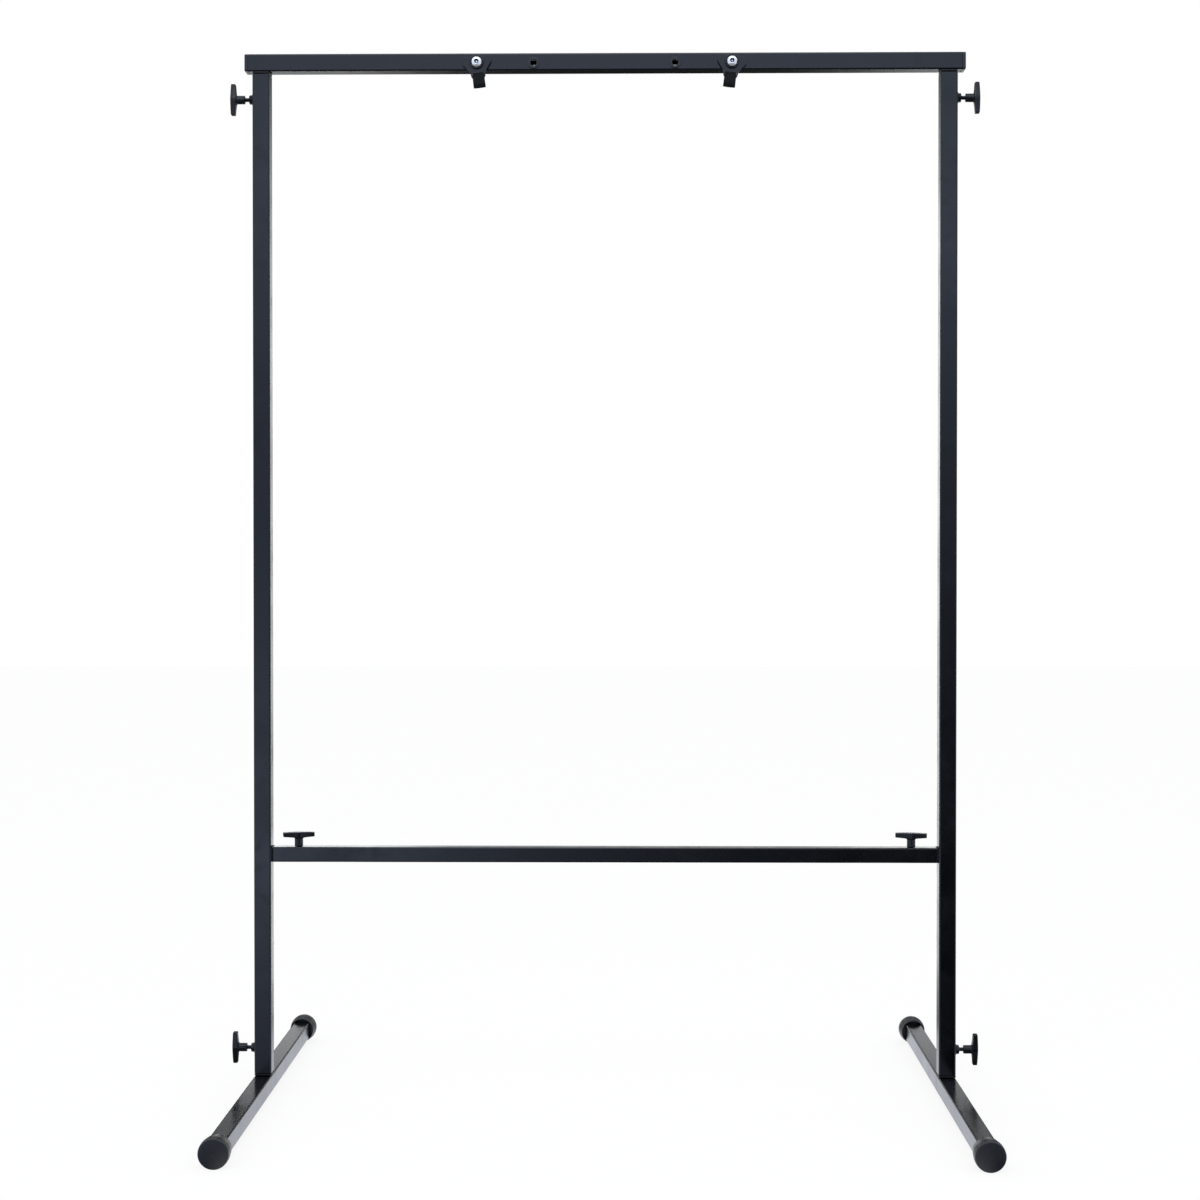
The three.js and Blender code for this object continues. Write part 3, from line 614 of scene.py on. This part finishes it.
def crossbar_tube():
    tube = square_tube(BAR, BAR_WALL, BAR_CORNER, 2 * CROSSBAR_END)
    moved(tube, turn(90, Y) @ Matrix.Translation((0, 0, -CROSSBAR_END)))
    return cut(tube, *[moved(screw_drill(BAR / 2), at(side * BAR_KNOB_X, 0, 0)) for side in (-1, 1)])


def welded_stub(size, length, collar_half, bead_height):
    """A plug-in stub with its weld run round the root, from z = 0 up."""
    tube = square_tube(size, STUB_WALL, STUB_CORNER, length)
    thick = bead_height / 2 + BEAD_SINK
    path = square_path(collar_half - thick + BEAD_OVERHANG, BEAD_CORNER, bead_height / 2)
    return together(tube, bead(path, thick, BEAD_RIPPLE))


def build_tubes():
    for label, side in SIDES.items():
        x = side * UPRIGHT_X
        piece(f"upright_{label}_coated", upright(side), at(x, 0, UPRIGHT_BOTTOM), "frame", "tube_paint",
              f"upright_{label}")
        foot = square_tube(TUBE, TUBE_WALL, TUBE_CORNER, 2 * FOOT_HALF_LENGTH)
        piece(f"foot_{label}_coated", foot, at(x, FOOT_HALF_LENGTH, FOOT_Z, turn(90, X)), f"foot_{label}",
              "tube_paint", f"foot_tube_{label}")
        piece(f"foot_{label}_welded_stub", welded_stub(STUB, STUB_LENGTH, TUBE / 2, BEAD_HEIGHT),
              at(x, 0, FOOT_TOP + HAIR_GAP), f"foot_{label}", "weld_paint", f"foot_stub_{label}")
        piece(f"beam_{label}_welded_stub", welded_stub(STUB, STUB_LENGTH, TUBE / 2, BEAD_HEIGHT),
              at(x, 0, BEAM_Z - TUBE / 2 - HAIR_GAP, turn(180, X)), "beam", "weld_paint",
              f"beam_stub_{label}")
        bar_stub = cut(
            welded_stub(BAR_STUB, BAR_STUB_LENGTH, BAR / 2, BAR_BEAD_HEIGHT),
            moved(screw_drill(BAR_STUB / 2, STUB_DRILL_DEPTH),
                  at(0, 0, HALF_FRAME - TUBE - BAR_KNOB_X, turn(-90, X))))
        piece(f"crossbar_{label}_welded_stub", bar_stub,
              at(side * (HALF_FRAME - TUBE - HAIR_GAP), 0, CROSSBAR_Z, turn(90, X), turn(-90 * side, Y)),
              "frame", "weld_paint", f"crossbar_stub_{label}")
    piece("beam_coated", beam_tube(), at(0, 0, BEAM_Z), "beam", "tube_paint", "beam_tube")
    piece("crossbar_coated", crossbar_tube(), at(0, 0, CROSSBAR_Z), "frame", "tube_paint", "crossbar")


# ----------------------------------------------------------------------- knobs

def chamfered_nut(flats, height, screw):
    r, inner, bore = flats / math.sqrt(3) + 0.05, flats / 2 - 0.1, (screw + BORE_PLAY) / 2
    rounds = spun([(0, 0), (inner, 0), (r, NUT_CHAMFER), (r, height - NUT_CHAMFER), (inner, height),
                   (0, height)], 64)
    body = combined("INTERSECT", hexagon(flats, height), rounds)
    sink = spun([(0, -0.1), (bore + BORE_CHAMFER, -0.1), (bore, 0.6), (bore, height - 0.6),
                 (bore + BORE_CHAMFER, height + 0.1), (0, height + 0.1)])
    return cut(body, sink)


def welded_nut():
    """A nut from z = 0 up with a fillet of weld round its foot."""
    ring = bead(round_path(RING_RADIUS, RING_THICKNESS / 2), RING_THICKNESS, RING_RIPPLE)
    bmesh.ops.scale(ring, vec=(1, 1, RING_SQUASH), verts=ring.verts)
    sliced(ring, (0, 0, RING_FOOT), -Z)
    return together(chamfered_nut(NUT_FLATS, NUT_HEIGHT, SCREW), ring)


def wing():
    """The cross wing along X, thickest in the middle and squared at its tips, all its edges rounded."""
    bm = block(WING_SPAN, WING_TIP_DEPTH, WING_HEIGHT)
    bmesh.ops.subdivide_edges(bm, edges=edges_along(bm, X), cuts=WING_CUTS, use_grid_fill=True)
    middle = HUB + 2 * HUB_FLARE
    for v in bm.verts:
        share = abs(v.co.x) / (WING_SPAN / 2)
        height = WING_HEIGHT + (WING_TIP_HEIGHT - WING_HEIGHT) * share
        depth = WING_TIP_DEPTH + (middle - WING_TIP_DEPTH) * (1 - share) ** WING_WAIST
        top = HUB_LENGTH + WING_HEIGHT - WING_CROWN * share * share
        v.co.z = top if v.co.z > WING_HEIGHT / 2 else top - height
        v.co.y = math.copysign(depth / 2, v.co.y)
    bm.normal_update()
    sharp = [e for e in bm.edges if e.calc_face_angle(0) > 0.9]
    return bevelled(bm, sharp, WING_EDGE, 5)


def knob_handle():
    r, waist = HUB / 2, HUB / 2 - HUB_GROOVE
    hub = spun([(0, 0), (r - 0.9, 0), *arc(r - HUB_EDGE, HUB_EDGE, HUB_EDGE, -90, 0, 4)[1:],
                (r, 3.0), (waist, 3.3), (waist, 3.8), (r, 4.1),
                *arc(r + HUB_FILLET, HUB_LENGTH - 1.3, HUB_FILLET, 180, 96, 6),
                (r, HUB_LENGTH + 1.2), (0, HUB_LENGTH + 2.2)], 56)
    bore = moved(rod(SCREW + BORE_PLAY, HUB_LENGTH - HUB_ROOF + 1.0), at(0, 0, -1.0))
    return cut(combined("UNION", wing(), hub), bore)


def build_knobs():
    for label, side in SIDES.items():
        for level, height in (("top", TOP_KNOB_Z), ("bottom", BOTTOM_KNOB_Z)):
            name = f"{level}_{label}"
            face = at(side * HALF_FRAME, 0, height, turn(90 * side, Y))
            piece(f"nut_{name}_welded", welded_nut(), face @ at(0, 0, SEAT_GAP / 2), "frame", "weld_paint",
                  f"weld_nut_{name}")
            clamp_screw(name, face, SIDE_SCREW_IN, SEAT_GAP + NUT_HEIGHT + SIDE_SCREW_OUT, SIDE_TURNS[name])
        top = at(side * BAR_KNOB_X, 0, CROSSBAR_Z + BAR / 2)
        piece(f"nut_in_stub_{label}", chamfered_nut(NUT_FLATS, NUT_HEIGHT, SCREW),
              top @ at(0, 0, -STUB_NUT_DEPTH - NUT_HEIGHT), "frame", "screw_steel", f"stub_nut_{label}")
        clamp_screw(f"crossbar_{label}", top, STUB_NUT_DEPTH + NUT_HEIGHT + BAR_SCREW_IN, SEAT_GAP,
                    BAR_TURNS[label])


def clamp_screw(name, face, inner_end, hub_start, degrees):
    length = inner_end + hub_start + HUB_LENGTH - HUB_ROOF - SEAT_GAP
    piece(f"screw_{name}_threaded", threaded(SCREW, PITCH, length, SCREW_CHAMFER),
          face @ at(0, 0, -inner_end), f"screw_{name}", "screw_steel", f"knob_screw_{name}")
    piece(f"handle_{name}_moulded", knob_handle(), face @ at(0, 0, hub_start, turn(degrees, Z)),
          f"handle_{name}", "knob_plastic", f"knob_handle_{name}", crease=40)


# --------------------------------------------------------------- boots and caps

def boot():
    """A boot with its mouth at z = 0 and its flat end at the top. The sole faces -Y."""
    mouth, end, top = BOOT_RADIUS - 1.8, BOOT_RADIUS - 0.35, BOOT_LENGTH
    body = spun([
        (0, 0), (mouth - 1.4, 0), *arc(mouth - 0.6, 0.6, 0.6, -90, 0, 4)[1:],
        (mouth + 0.45, 6.0), (mouth + 1.1, 11.0), (BOOT_RADIUS - 0.12, 16.0), (BOOT_RADIUS, 19.0),
        (BOOT_RADIUS - 0.08, 23.5), *arc(end - 1.9, top - 2.5, 1.9, 0, 80, 7), (end - 3.4, top - 0.42),
        (end - 6, top - 0.24), (end - 9.5, top - 0.09), (end - 14, top - 0.01), (2.2, top),
        *arc(0.9, top - 0.55, 0.5, 60, 0, 3), (0.9, top - 1.0), (0, top - 1.1)], 80)
    recess = spun([(0, -1), (mouth - 1.0, -1), (mouth - 1.4, 0.5), (mouth - 1.5, 7.2), (mouth - 2.4, 8),
                   (0, 8)], 64)
    socket = square_bar(TUBE + 2 * SEAT_GAP, TUBE_CORNER + SEAT_GAP, BOOT_LENGTH - BOOT_FLOOR + 1)
    body = cut(body, recess, moved(socket, at(0, 0, -1)))
    sliced(body, (0, -FOOT_Z, 0), -Y)
    bmesh.ops.contextual_create(body, geom=[e for e in body.edges if e.is_boundary])
    bmesh.ops.recalc_face_normals(body, faces=body.faces)
    return body


def beam_cap():
    """A cap whose flange starts at z = 0 and whose ribbed insert reaches down."""
    flange = square_bar(TUBE, TUBE_CORNER, CAP_FLANGE)
    rim = [e for e in flange.edges if min(v.co.z for v in e.verts) > CAP_FLANGE - 0.01]
    bevelled(flange, rim, CAP_CHAMFER, 4)
    foot = [e for e in flange.edges if max(v.co.z for v in e.verts) < 0.01]
    bevelled(flange, foot, CAP_EDGE, 2)
    insert = TUBE - 2 * (TUBE_WALL + SEAT_GAP)
    sleeve = insert - 2 * CAP_RIB
    core = moved(square_bar(sleeve, STUB_CORNER, CAP_INSERT + 1.0), at(0, 0, -CAP_INSERT))
    ribs = [moved(square_bar(insert, STUB_CORNER, 1.0), at(0, 0, -CAP_INSERT * row / 2 + 1.0))
            for row in (1, 2)]
    body = combined("UNION", flange, core, *ribs)
    return cut(body, moved(square_bar(sleeve - 2 * CAP_WALL, 1.0, CAP_INSERT), at(0, 0, -CAP_INSERT - 1.0)))


def snap_bush(bore_size):
    """A bush whose flange stands on z = 0 and whose sleeve reaches down through a tube wall."""
    bore, sleeve, flange = bore_size / 2, BUSH_OUTER / 2, BUSH_FLANGE / 2
    return spun([
        (bore, 1.1), (bore, -3.3), (bore + 0.2, -3.5), (sleeve - 0.1, -3.5), (sleeve + 0.6, -2.1),
        (sleeve, -2.1), (sleeve, 0), (flange - 0.2, 0), (flange, 0.25), (flange, 0.75),
        *arc(flange - 0.85, 0.75, 0.85, 0, 90, 5)[1:], (bore + 0.5, 1.6), (bore + 0.15, 1.5),
        (bore, 1.1)], 56)


def build_boots_and_caps():
    for label, side in SIDES.items():
        for end, spin in (("front", 0), ("rear", 180)):
            foot = at(side * UPRIGHT_X, 0, 0, turn(spin, Z))
            piece(f"boot_{label}_{end}_moulded", boot(),
                  foot @ at(0, BOOT_LENGTH - BOOT_REACH, FOOT_Z, turn(90, X)),
                  f"foot_{label}", "boot_rubber", f"boot_{label}_{end}", crease=38)
        piece(f"cap_{label}_moulded", beam_cap(),
              at(side * (BEAM_HALF_LENGTH + SEAT_GAP), 0, BEAM_Z, turn(90 * side, Y)),
              "beam", "cap_plastic", f"beam_cap_{label}")
        for face, out, bore in (("front", -1, BUSH_BORE), ("rear", 1, BUSH_REAR_BORE)):
            piece(f"bush_{label}_{face}_moulded", snap_bush(bore),
                  at(side * SPARE_X, out * (TUBE / 2 + BUSH_GAP), HOLE_Z, turn(-90 * out, X)),
                  "beam", "cap_plastic", f"spare_bush_{label}_{face}")


# --------------------------------------------------------------------- hangers

def button_bolt():
    """The head stands on z = 0 and the threaded shank reaches down."""
    r, land, top, brim = BOLT_HEAD / 2, HEAD_LAND, BOLT_HEAD_HEIGHT, 0.7
    slopes = [math.radians(a) for a in range(9, 90, 9)]
    dome = [(land + (r - land) * math.cos(a), brim + (top - brim) * math.sin(a)) for a in slopes]
    head = spun([(0, 0), (r - 0.25, 0), (r, 0.25), (r, brim), *dome, (land, top), (land - 0.15, top - 0.05),
                 (0, top - 0.05)], 72)
    socket = moved(hexagon(SOCKET_FLATS, 4.0), at(0, 0, top - SOCKET_DEPTH))
    drill = spun([(0, top - 3.4), (1.3, top - 2.7), (0, top - 2.7)], 32)
    mouth = spun([(0, top - SOCKET_MOUTH), (2.7, top - SOCKET_MOUTH), (3.5, top + 0.2), (0, top + 0.2)])
    head = cut(head, socket, mouth, drill)
    # The socket's mouth, walls and floor take the darker metal, painted shade in the recess; the drill point
    # in its middle stays mostly bright zinc.
    for f in head.faces:
        middle = f.calc_center_median()
        if top - SOCKET_DEPTH - 0.05 < middle.z < top - 0.2 and middle.xy.length < 3.4:
            f.material_index = 1
    length = HEAD_BACK + BOLT_TAIL
    shank = moved(threaded(BOLT, BOLT_PITCH, length + 0.5, BOLT_CHAMFER), at(0, 0, -length))
    return together(head, shank)


def cup_washer():
    bore = BOLT_HOLE / 2
    return spun([
        (bore, 0), (9.2, 0), *arc(9.2, 0.8, 0.8, -90, 0, 4)[1:], *arc(9.1, 2.5, 0.9, 0, 180, 8),
        (8.15, 2.2), (7.6, 2.05), (bore + 0.2, 2.0), (bore, 1.8), (bore, 0)], 64)


def flat_ring(diameter, thickness, edge):
    b, r = BOLT_HOLE / 2, diameter / 2
    return spun([(b, edge), (b + edge, 0), (r - edge, 0), (r, edge), (r, thickness - edge),
                 (r - edge, thickness), (b + edge, thickness), (b, thickness - edge), (b, edge)], 56)


def hanger_plate():
    """Drawn with the bolt's axis at the origin, from z = 0 up, its tip towards -Y."""
    bm = bmesh.new()
    half, inset, high = PLATE_HALF, PLATE_HALF - PLATE_CORNER, PLATE_RISE - PLATE_CORNER
    outline = [(half, -PLATE_DROP), *arc(inset, high, PLATE_CORNER, 0, 90, 6),
               *arc(-inset, high, PLATE_CORNER, 90, 180, 6), (-half, -PLATE_DROP),
               (-SHOULDER_HALF, -SHOULDER_DROP), (-TIP_HALF, -TIP_DROP),
               (TIP_HALF, -TIP_DROP), (SHOULDER_HALF, -SHOULDER_DROP)]
    bm.faces.new([bm.verts.new((x, y, 0)) for x, y in outline])
    bevelled(bm, [v for v in bm.verts if v.co.y < -0.5], TIP_CORNER, 5, "VERTICES")
    grown = bmesh.ops.extrude_face_region(bm, geom=bm.faces[:])["geom"]
    bmesh.ops.translate(bm, vec=(0, 0, PLATE), verts=[g for g in grown if isinstance(g, bmesh.types.BMVert)])
    bmesh.ops.recalc_face_normals(bm, faces=bm.faces)
    slot_y = SLOT_BAR - TIP_DROP + SLOT_HEIGHT / 2
    slot = moved(block(SLOT_WIDTH, SLOT_HEIGHT, 10.0), at(0, slot_y, -4))
    bevelled(slot, edges_along(slot, Z), SLOT_CORNER, 4)
    bm = cut(bm, moved(rod(BOLT_HOLE, 10.0), at(0, 0, -4)), slot)
    return bevelled(bm, [e for e in bm.edges if e.calc_face_angle(0) > SHARP], PLATE_EDGE, 3)


def webbing_loop():
    """A woven strap round the bar of the plate and round the space of a cord below it.
    It lies across X, with its upper turn round the origin."""
    drop, thick = STRAP_DROP, STRAP_THICKNESS
    top_r, low_r = STRAP_UPPER_RADIUS + thick / 2, STRAP_LOWER_RADIUS + thick / 2
    lean = math.asin((low_r - top_r) / drop)
    straight = math.sqrt(drop ** 2 - (low_r - top_r) ** 2)
    runs = [top_r * (math.pi - 2 * lean), straight, low_r * (math.pi + 2 * lean), straight]

    def spoke(angle):
        return Vector((0, math.cos(angle), math.sin(angle)))

    def on_path(share):
        """A point of the strap's middle line, and the direction out of the loop there."""
        run = share * sum(runs)
        if run < runs[0]:
            out = spoke(lean + run / top_r)
            return out * top_r, out
        run -= runs[0]
        if run < straight:
            out = spoke(math.pi - lean)
            return out * top_r + spoke(1.5 * math.pi - lean) * run, out
        run -= straight
        if run < runs[2]:
            out = spoke(math.pi - lean + run / low_r)
            return out * low_r - Z * drop, out
        out = spoke(lean)
        return out * low_r - Z * drop + spoke(lean + math.pi / 2) * (run - runs[2]), out

    bm = bmesh.new()
    bmesh.ops.create_grid(bm, x_segments=STRAP_RIBS * YARN_STEPS, y_segments=STRAP_PICKS * YARN_STEPS,
                          size=0.5)
    layer = bm.loops.layers.uv.new("weave")
    for f in bm.faces:
        for loop in f.loops:
            loop[layer].uv = ((loop.vert.co.x + 0.5) * STRAP_RIBS, (loop.vert.co.y + 0.5) * STRAP_PICKS)
    for v in bm.verts:
        across, share = v.co.x, v.co.y + 0.5
        middle, out = on_path(share % 1.0)
        low = -middle.z / drop
        selvage = 1 - min(1.0, max(0.0, (abs(across) - 0.44) / 0.06)) ** 2
        ribs, picks = (across + 0.5) * STRAP_RIBS, share * STRAP_PICKS
        weave = YARN_RISE * math.sin(ribs * math.tau) * math.sin(picks * math.tau) * selvage
        droop = 0.35 * math.cos(across * math.pi) * max(0.0, low - 0.4)
        flare = 1 + 0.035 * max(0.0, low - 0.7)
        v.co = middle + out * (weave + droop) + X * (across * STRAP_WIDTH * flare)
    bmesh.ops.remove_doubles(bm, verts=bm.verts, dist=1e-3)
    bmesh.ops.recalc_face_normals(bm, faces=bm.faces)
    bm.normal_update()
    bmesh.ops.solidify(bm, geom=bm.faces[:], thickness=thick)
    return bm


def build_hangers():
    for label, side in SIDES.items():
        face = at(side * HANGER_X, 0, HOLE_Z, turn(90, X))
        rear = face @ turn(180, X)
        lean = at(side * HANGER_X, 0, HOLE_Z, turn(side * LEAN, Y))
        piece(f"spacer_{label}_turned", flat_ring(*SPACER), face @ at(0, 0, SPACER_BACK),
              "beam", "cap_plastic", f"hanger_spacer_{label}")
        piece(f"cup_{label}_moulded", cup_washer(), face @ at(0, 0, CUP_BACK),
              "beam", "washer_rubber", f"cup_washer_{label}")
        piece(f"bolt_{label}_zinc", button_bolt(), face @ at(0, 0, HEAD_BACK),
              "beam", "bolt_zinc", f"hanger_bolt_{label}", inner=SOCKET_PAINTED_SHADE)
        piece(f"washer_{label}_zinc", flat_ring(*REAR_WASHER), rear @ at(0, 0, TUBE / 2 + SEAT_GAP),
              "beam", "bolt_zinc", f"rear_washer_{label}")
        piece(f"nut_{label}_zinc", chamfered_nut(BOLT_NUT_FLATS, BOLT_NUT_HEIGHT, BOLT),
              rear @ at(0, 0, NUT_BACK), "beam", "bolt_zinc", f"hanger_nut_{label}")
        piece(f"plate_{label}_coated", hanger_plate(), lean @ at(0, -PLATE_BACK, 0, turn(90, X)),
              f"hanger_{label}", "plate_steel", f"hanger_plate_{label}")
        piece(f"strap_{label}_woven", webbing_loop(), lean @ at(0, -PLATE_BACK - PLATE / 2, STRAP_TURN_Z),
              f"hanger_{label}", "strap_webbing", f"hanger_strap_{label}", crease=60)


# ----------------------------------------------------------------------- stage

def build_stage():
    scene = bpy.context.scene
    scene.view_settings.view_transform = "Standard"

    lens = bpy.data.cameras.new("camera")
    lens.lens, lens.sensor_width = LENS, 36
    scene.camera = new_object("camera", lens)
    scene.camera.location = CAMERA_PLACE
    scene.camera.rotation_euler = (math.radians(90 - CAMERA_DOWN), 0, math.radians(CAMERA_LEFT))

    bm = bmesh.new()
    bmesh.ops.create_grid(bm, x_segments=1, y_segments=1, size=FLOOR_REACH)
    floor = as_object(bm, "floor")
    floor.data.materials.append(floor_finish())

    scene.world = bpy.data.worlds.new("studio")
    scene.world.use_nodes = True
    studio(scene.world.node_tree)
    softbox("overhead_box", place=(-0.1, -2.2, 3.3), target=(0, 0, 1.1), width=1.9, height=1.5, radiance=3.2,
            colour=(0.95, 0.97, 1.0))


def softbox(name, place, target, width, height, radiance, colour):
    """A flat soft light that is seen in reflections but not directly."""
    light = bpy.data.lights.new(name, "AREA")
    light.shape = "RECTANGLE"
    light.size, light.size_y = width, height
    light.energy = radiance * width * height * math.pi
    light.color = colour
    obj = new_object(name, light)
    obj.location = place
    obj.rotation_euler = (Vector(target) - Vector(place)).to_track_quat("-Z", "Y").to_euler()
    obj.visible_camera = False


def ramp(tree, value, low, high, stops):
    """A grey value that follows stops between low and high. Each stop is a place and a grey."""
    place = tree.nodes.new("ShaderNodeMapRange")
    tree.links.new(value, place.inputs["Value"])
    place.inputs["From Min"].default_value, place.inputs["From Max"].default_value = low, high
    node = tree.nodes.new("ShaderNodeValToRGB")
    tree.links.new(place.outputs["Result"], node.inputs["Fac"])
    marks = node.color_ramp.elements
    while len(marks) < len(stops):
        marks.new(0.5)
    for mark, (where, grey) in zip(marks, stops):
        mark.position = (where - low) / (high - low)
        mark.color = (grey, grey, grey, 1)
    return node.outputs["Color"]


def mixed(tree, factor, a, b):
    """One shader, or the other, or a share of both."""
    node = tree.nodes.new("ShaderNodeMixShader")
    for value, socket in zip((factor, a, b), node.inputs):
        tree.links.new(value, socket)
    return node.outputs[0]


# The panels of the studio, as slopes seen from its middle: on which side each one is, its brightness, and
# the range and the stops of its light from left to right and from the bottom up.
FADE = [(0.15, 1.0), (0.2, 0.52), (0.225, 0.27), (0.238, 0.13), (0.247, 0.0), (0.258, 0.05), (0.272, 0.15),
        (0.32, 0.03)]
PANELS = {
    "left panel": (
        "behind", 2.1,
        (-0.5, 0, [(-0.5, 0.02), (-0.24, 0.05), (-0.19, 1.05), (-0.13, 1.2), (-0.09, 0.0)]),
        (-0.3, 0.4, [(-0.22, 0.0), (-0.2, 0.18), (-0.182, 0.8), (-0.155, 1.0), *FADE])),
    "right panel": (
        "behind", 2.1,
        (0, 0.5, [(0.09, 0.0), (0.14, 1.0), (0.19, 0.95), (0.24, 0.05), (0.5, 0.02)]),
        (-0.3, 0.4, [(-0.215, 0.0), (-0.197, 0.3), (-0.177, 0.85), (-0.15, 1.0), *FADE])),
    "low corner": (
        "behind", 2.1,
        (0.1, 0.3, [(0.152, 0.0), (0.165, 1.0), (0.185, 1.0), (0.2, 0.0)]),
        (-0.3, 0, [(-0.225, 0.0), (-0.208, 1.0), (-0.18, 0.8), (-0.15, 0.0)])),
    "middle": (
        "behind", 2.1,
        (-0.2, 0.2, [(-0.13, 0.0), (-0.09, 0.42), (0.09, 0.42), (0.14, 0.0)]),
        (-0.1, 0.4, [(-0.02, 0.0), (0.04, 1.0), *FADE])),
    "skirt": (
        "behind", 1.0,
        (-0.3, 0.3, [(-0.3, 0.6), (-0.185, 0.45), (-0.166, 0.2), (-0.12, 0.08), (-0.02, 0.03), (0.08, 0.04),
                     (0.13, 0.09), (0.155, 0.3), (0.3, 0.5)]),
        (-0.6, 0, [(-0.6, 0.1), (-0.4, 0.5), (-0.3, 1.0), (-0.2, 1.0), (-0.15, 0.0)])),
    "high box": (
        "ahead", 2.1,
        (-1.6, 1.6, [(-1.6, 0.1), (-0.9, 0.9), (-0.55, 0.9), (-0.34, 0.15), (-0.24, 1.0), (0.3, 1.0),
                     (0.42, 0.1), (1.6, 0.08)]),
        (-0.1, 0.5, [(-0.1, 0.0), (-0.05, 0.04), (0.01, 0.25), (0.077, 0.2), (0.11, 0.32), (0.13, 0.75),
                     (0.19, 1.0), (0.24, 0.68), (0.34, 0.5), (0.5, 0.1)])),
    "low box": (
        "ahead", 2.2,
        (-0.6, 0.3, [(-0.6, 0.1), (-0.3, 0.6), (-0.157, 1.0), (-0.105, 0.74), (-0.056, 0.36), (-0.007, 0.18),
                     (0.04, 0.09), (0.09, 0.045), (0.146, 0.01)]),
        (-0.5, 0.05, [(-0.5, 0.05), (-0.28, 0.15), (-0.227, 0.33), (-0.198, 0.58), (-0.158, 0.9),
                      (-0.12, 1.03), (-0.06, 0.56), (0.05, 0.0)]))}
ROOM = [(-1, 0.05), (-0.8, 0.1), (-0.6, 0.35), (-0.38, 0.8), (-0.2, 0.9), (-0.05, 0.55), (0.1, 0.5),
        (0.3, 0.8), (0.55, 0.8), (0.7, 1.0), (0.9, 0.95), (1, 0.3)]
ROOM_GAIN, DARKEST = 1.5, 0.004
ROOM_WIDE, ROOM_HIGH = (0.4, 0.75), (0.6, 0.95)  # the slopes over which the room sets in


def studio(tree):
    """A white room where it is looked at, and even light on matt faces. Glossy reflections show the
    panels, and a soft room round them."""
    nodes, links = tree.nodes, tree.links
    nodes.clear()
    output = nodes.new("ShaderNodeOutputWorld")
    looks, lights, mirrors = [nodes.new("ShaderNodeBackground") for _ in range(3)]
    looks.inputs["Color"].default_value = (1, 1, 1, 1)
    lights.inputs["Color"].default_value = (0.97, 0.98, 1.0, 1)

    x, y, z = split(tree, nodes.new("ShaderNodeTexCoord").outputs["Generated"])
    depth = math_node(tree, "MAXIMUM", math_node(tree, "ABSOLUTE", y), 0.02)
    across, rise = math_node(tree, "DIVIDE", x, depth), math_node(tree, "DIVIDE", z, depth)
    facing = {"behind": math_node(tree, "GREATER_THAN", y, 0), "ahead": math_node(tree, "LESS_THAN", y, 0)}

    aside = [spread(tree, math_node(tree, "ABSOLUTE", slope), *limits, 0.0, 1.0)
             for slope, limits in ((across, ROOM_WIDE), (rise, ROOM_HIGH))]
    room = math_node(tree, "MULTIPLY", ramp(tree, z, -1, 1, ROOM), math_node(tree, "MAXIMUM", *aside))
    total = math_node(tree, "MULTIPLY_ADD", room, ROOM_GAIN, DARKEST)
    for side, gain, widths, heights in PANELS.values():
        panel = math_node(tree, "MULTIPLY", ramp(tree, across, *widths), ramp(tree, rise, *heights))
        panel = math_node(tree, "MULTIPLY", panel, facing[side])
        total = math_node(tree, "MULTIPLY_ADD", panel, gain, total)
    links.new(total, mirrors.inputs["Strength"])
    tint = blend_colour(tree, facing["behind"], (0.62, 0.735, 1.0), (0.95, 0.975, 1.0))
    links.new(tint, mirrors.inputs["Color"])

    rays = nodes.new("ShaderNodeLightPath").outputs
    lit = mixed(tree, rays["Is Glossy Ray"], lights.outputs[0], mirrors.outputs[0])
    links.new(mixed(tree, rays["Is Camera Ray"], lit, looks.outputs[0]), output.inputs["Surface"])


def floor_finish():
    """A pale matt floor that looks almost as white as the room behind it. Reflections show it only
    beside the feet, and the studio's own panels elsewhere."""
    material = bpy.data.materials.new("floor_pale")
    material.use_nodes = True
    tree = material.node_tree
    nodes, links = tree.nodes, tree.links
    nodes.clear()
    output, matt, glow, beside, clear = [nodes.new("ShaderNode" + kind) for kind in (
        "OutputMaterial", "BsdfDiffuse", "Emission", "Emission", "BsdfTransparent")]
    matt.inputs["Color"].default_value = (0.9, 0.9, 0.9, 1)
    beside.inputs["Color"].default_value = (0.88, 0.92, 1.0, 1)
    beside.inputs["Strength"].default_value = 1.15
    rays = nodes.new("ShaderNodeLightPath").outputs
    white = math_node(tree, "MULTIPLY", rays["Is Camera Ray"], FLOOR_WHITE)
    x, y, _ = split(tree, nodes.new("ShaderNodeTexCoord").outputs["Object"])
    strip = ramp(tree, math_node(tree, "ABSOLUTE", x), 0.3, 0.6,
                 [(0.3, 0), (0.4, 0), (0.43, 1), (0.49, 1), (0.51, 0)])
    length = ramp(tree, math_node(tree, "ABSOLUTE", y), 0, 1, [(0, 1), (0.42, 1), (0.52, 0)])
    near_feet = math_node(tree, "MULTIPLY", strip, length)
    whole = mixed(tree, rays["Is Glossy Ray"],
                  mixed(tree, white, matt.outputs[0], glow.outputs[0]),
                  mixed(tree, near_feet, clear.outputs[0], beside.outputs[0]))
    links.new(whole, output.inputs["Surface"])
    return material


build_stage()
build_tubes()
build_knobs()
build_boots_and_caps()
build_hangers()
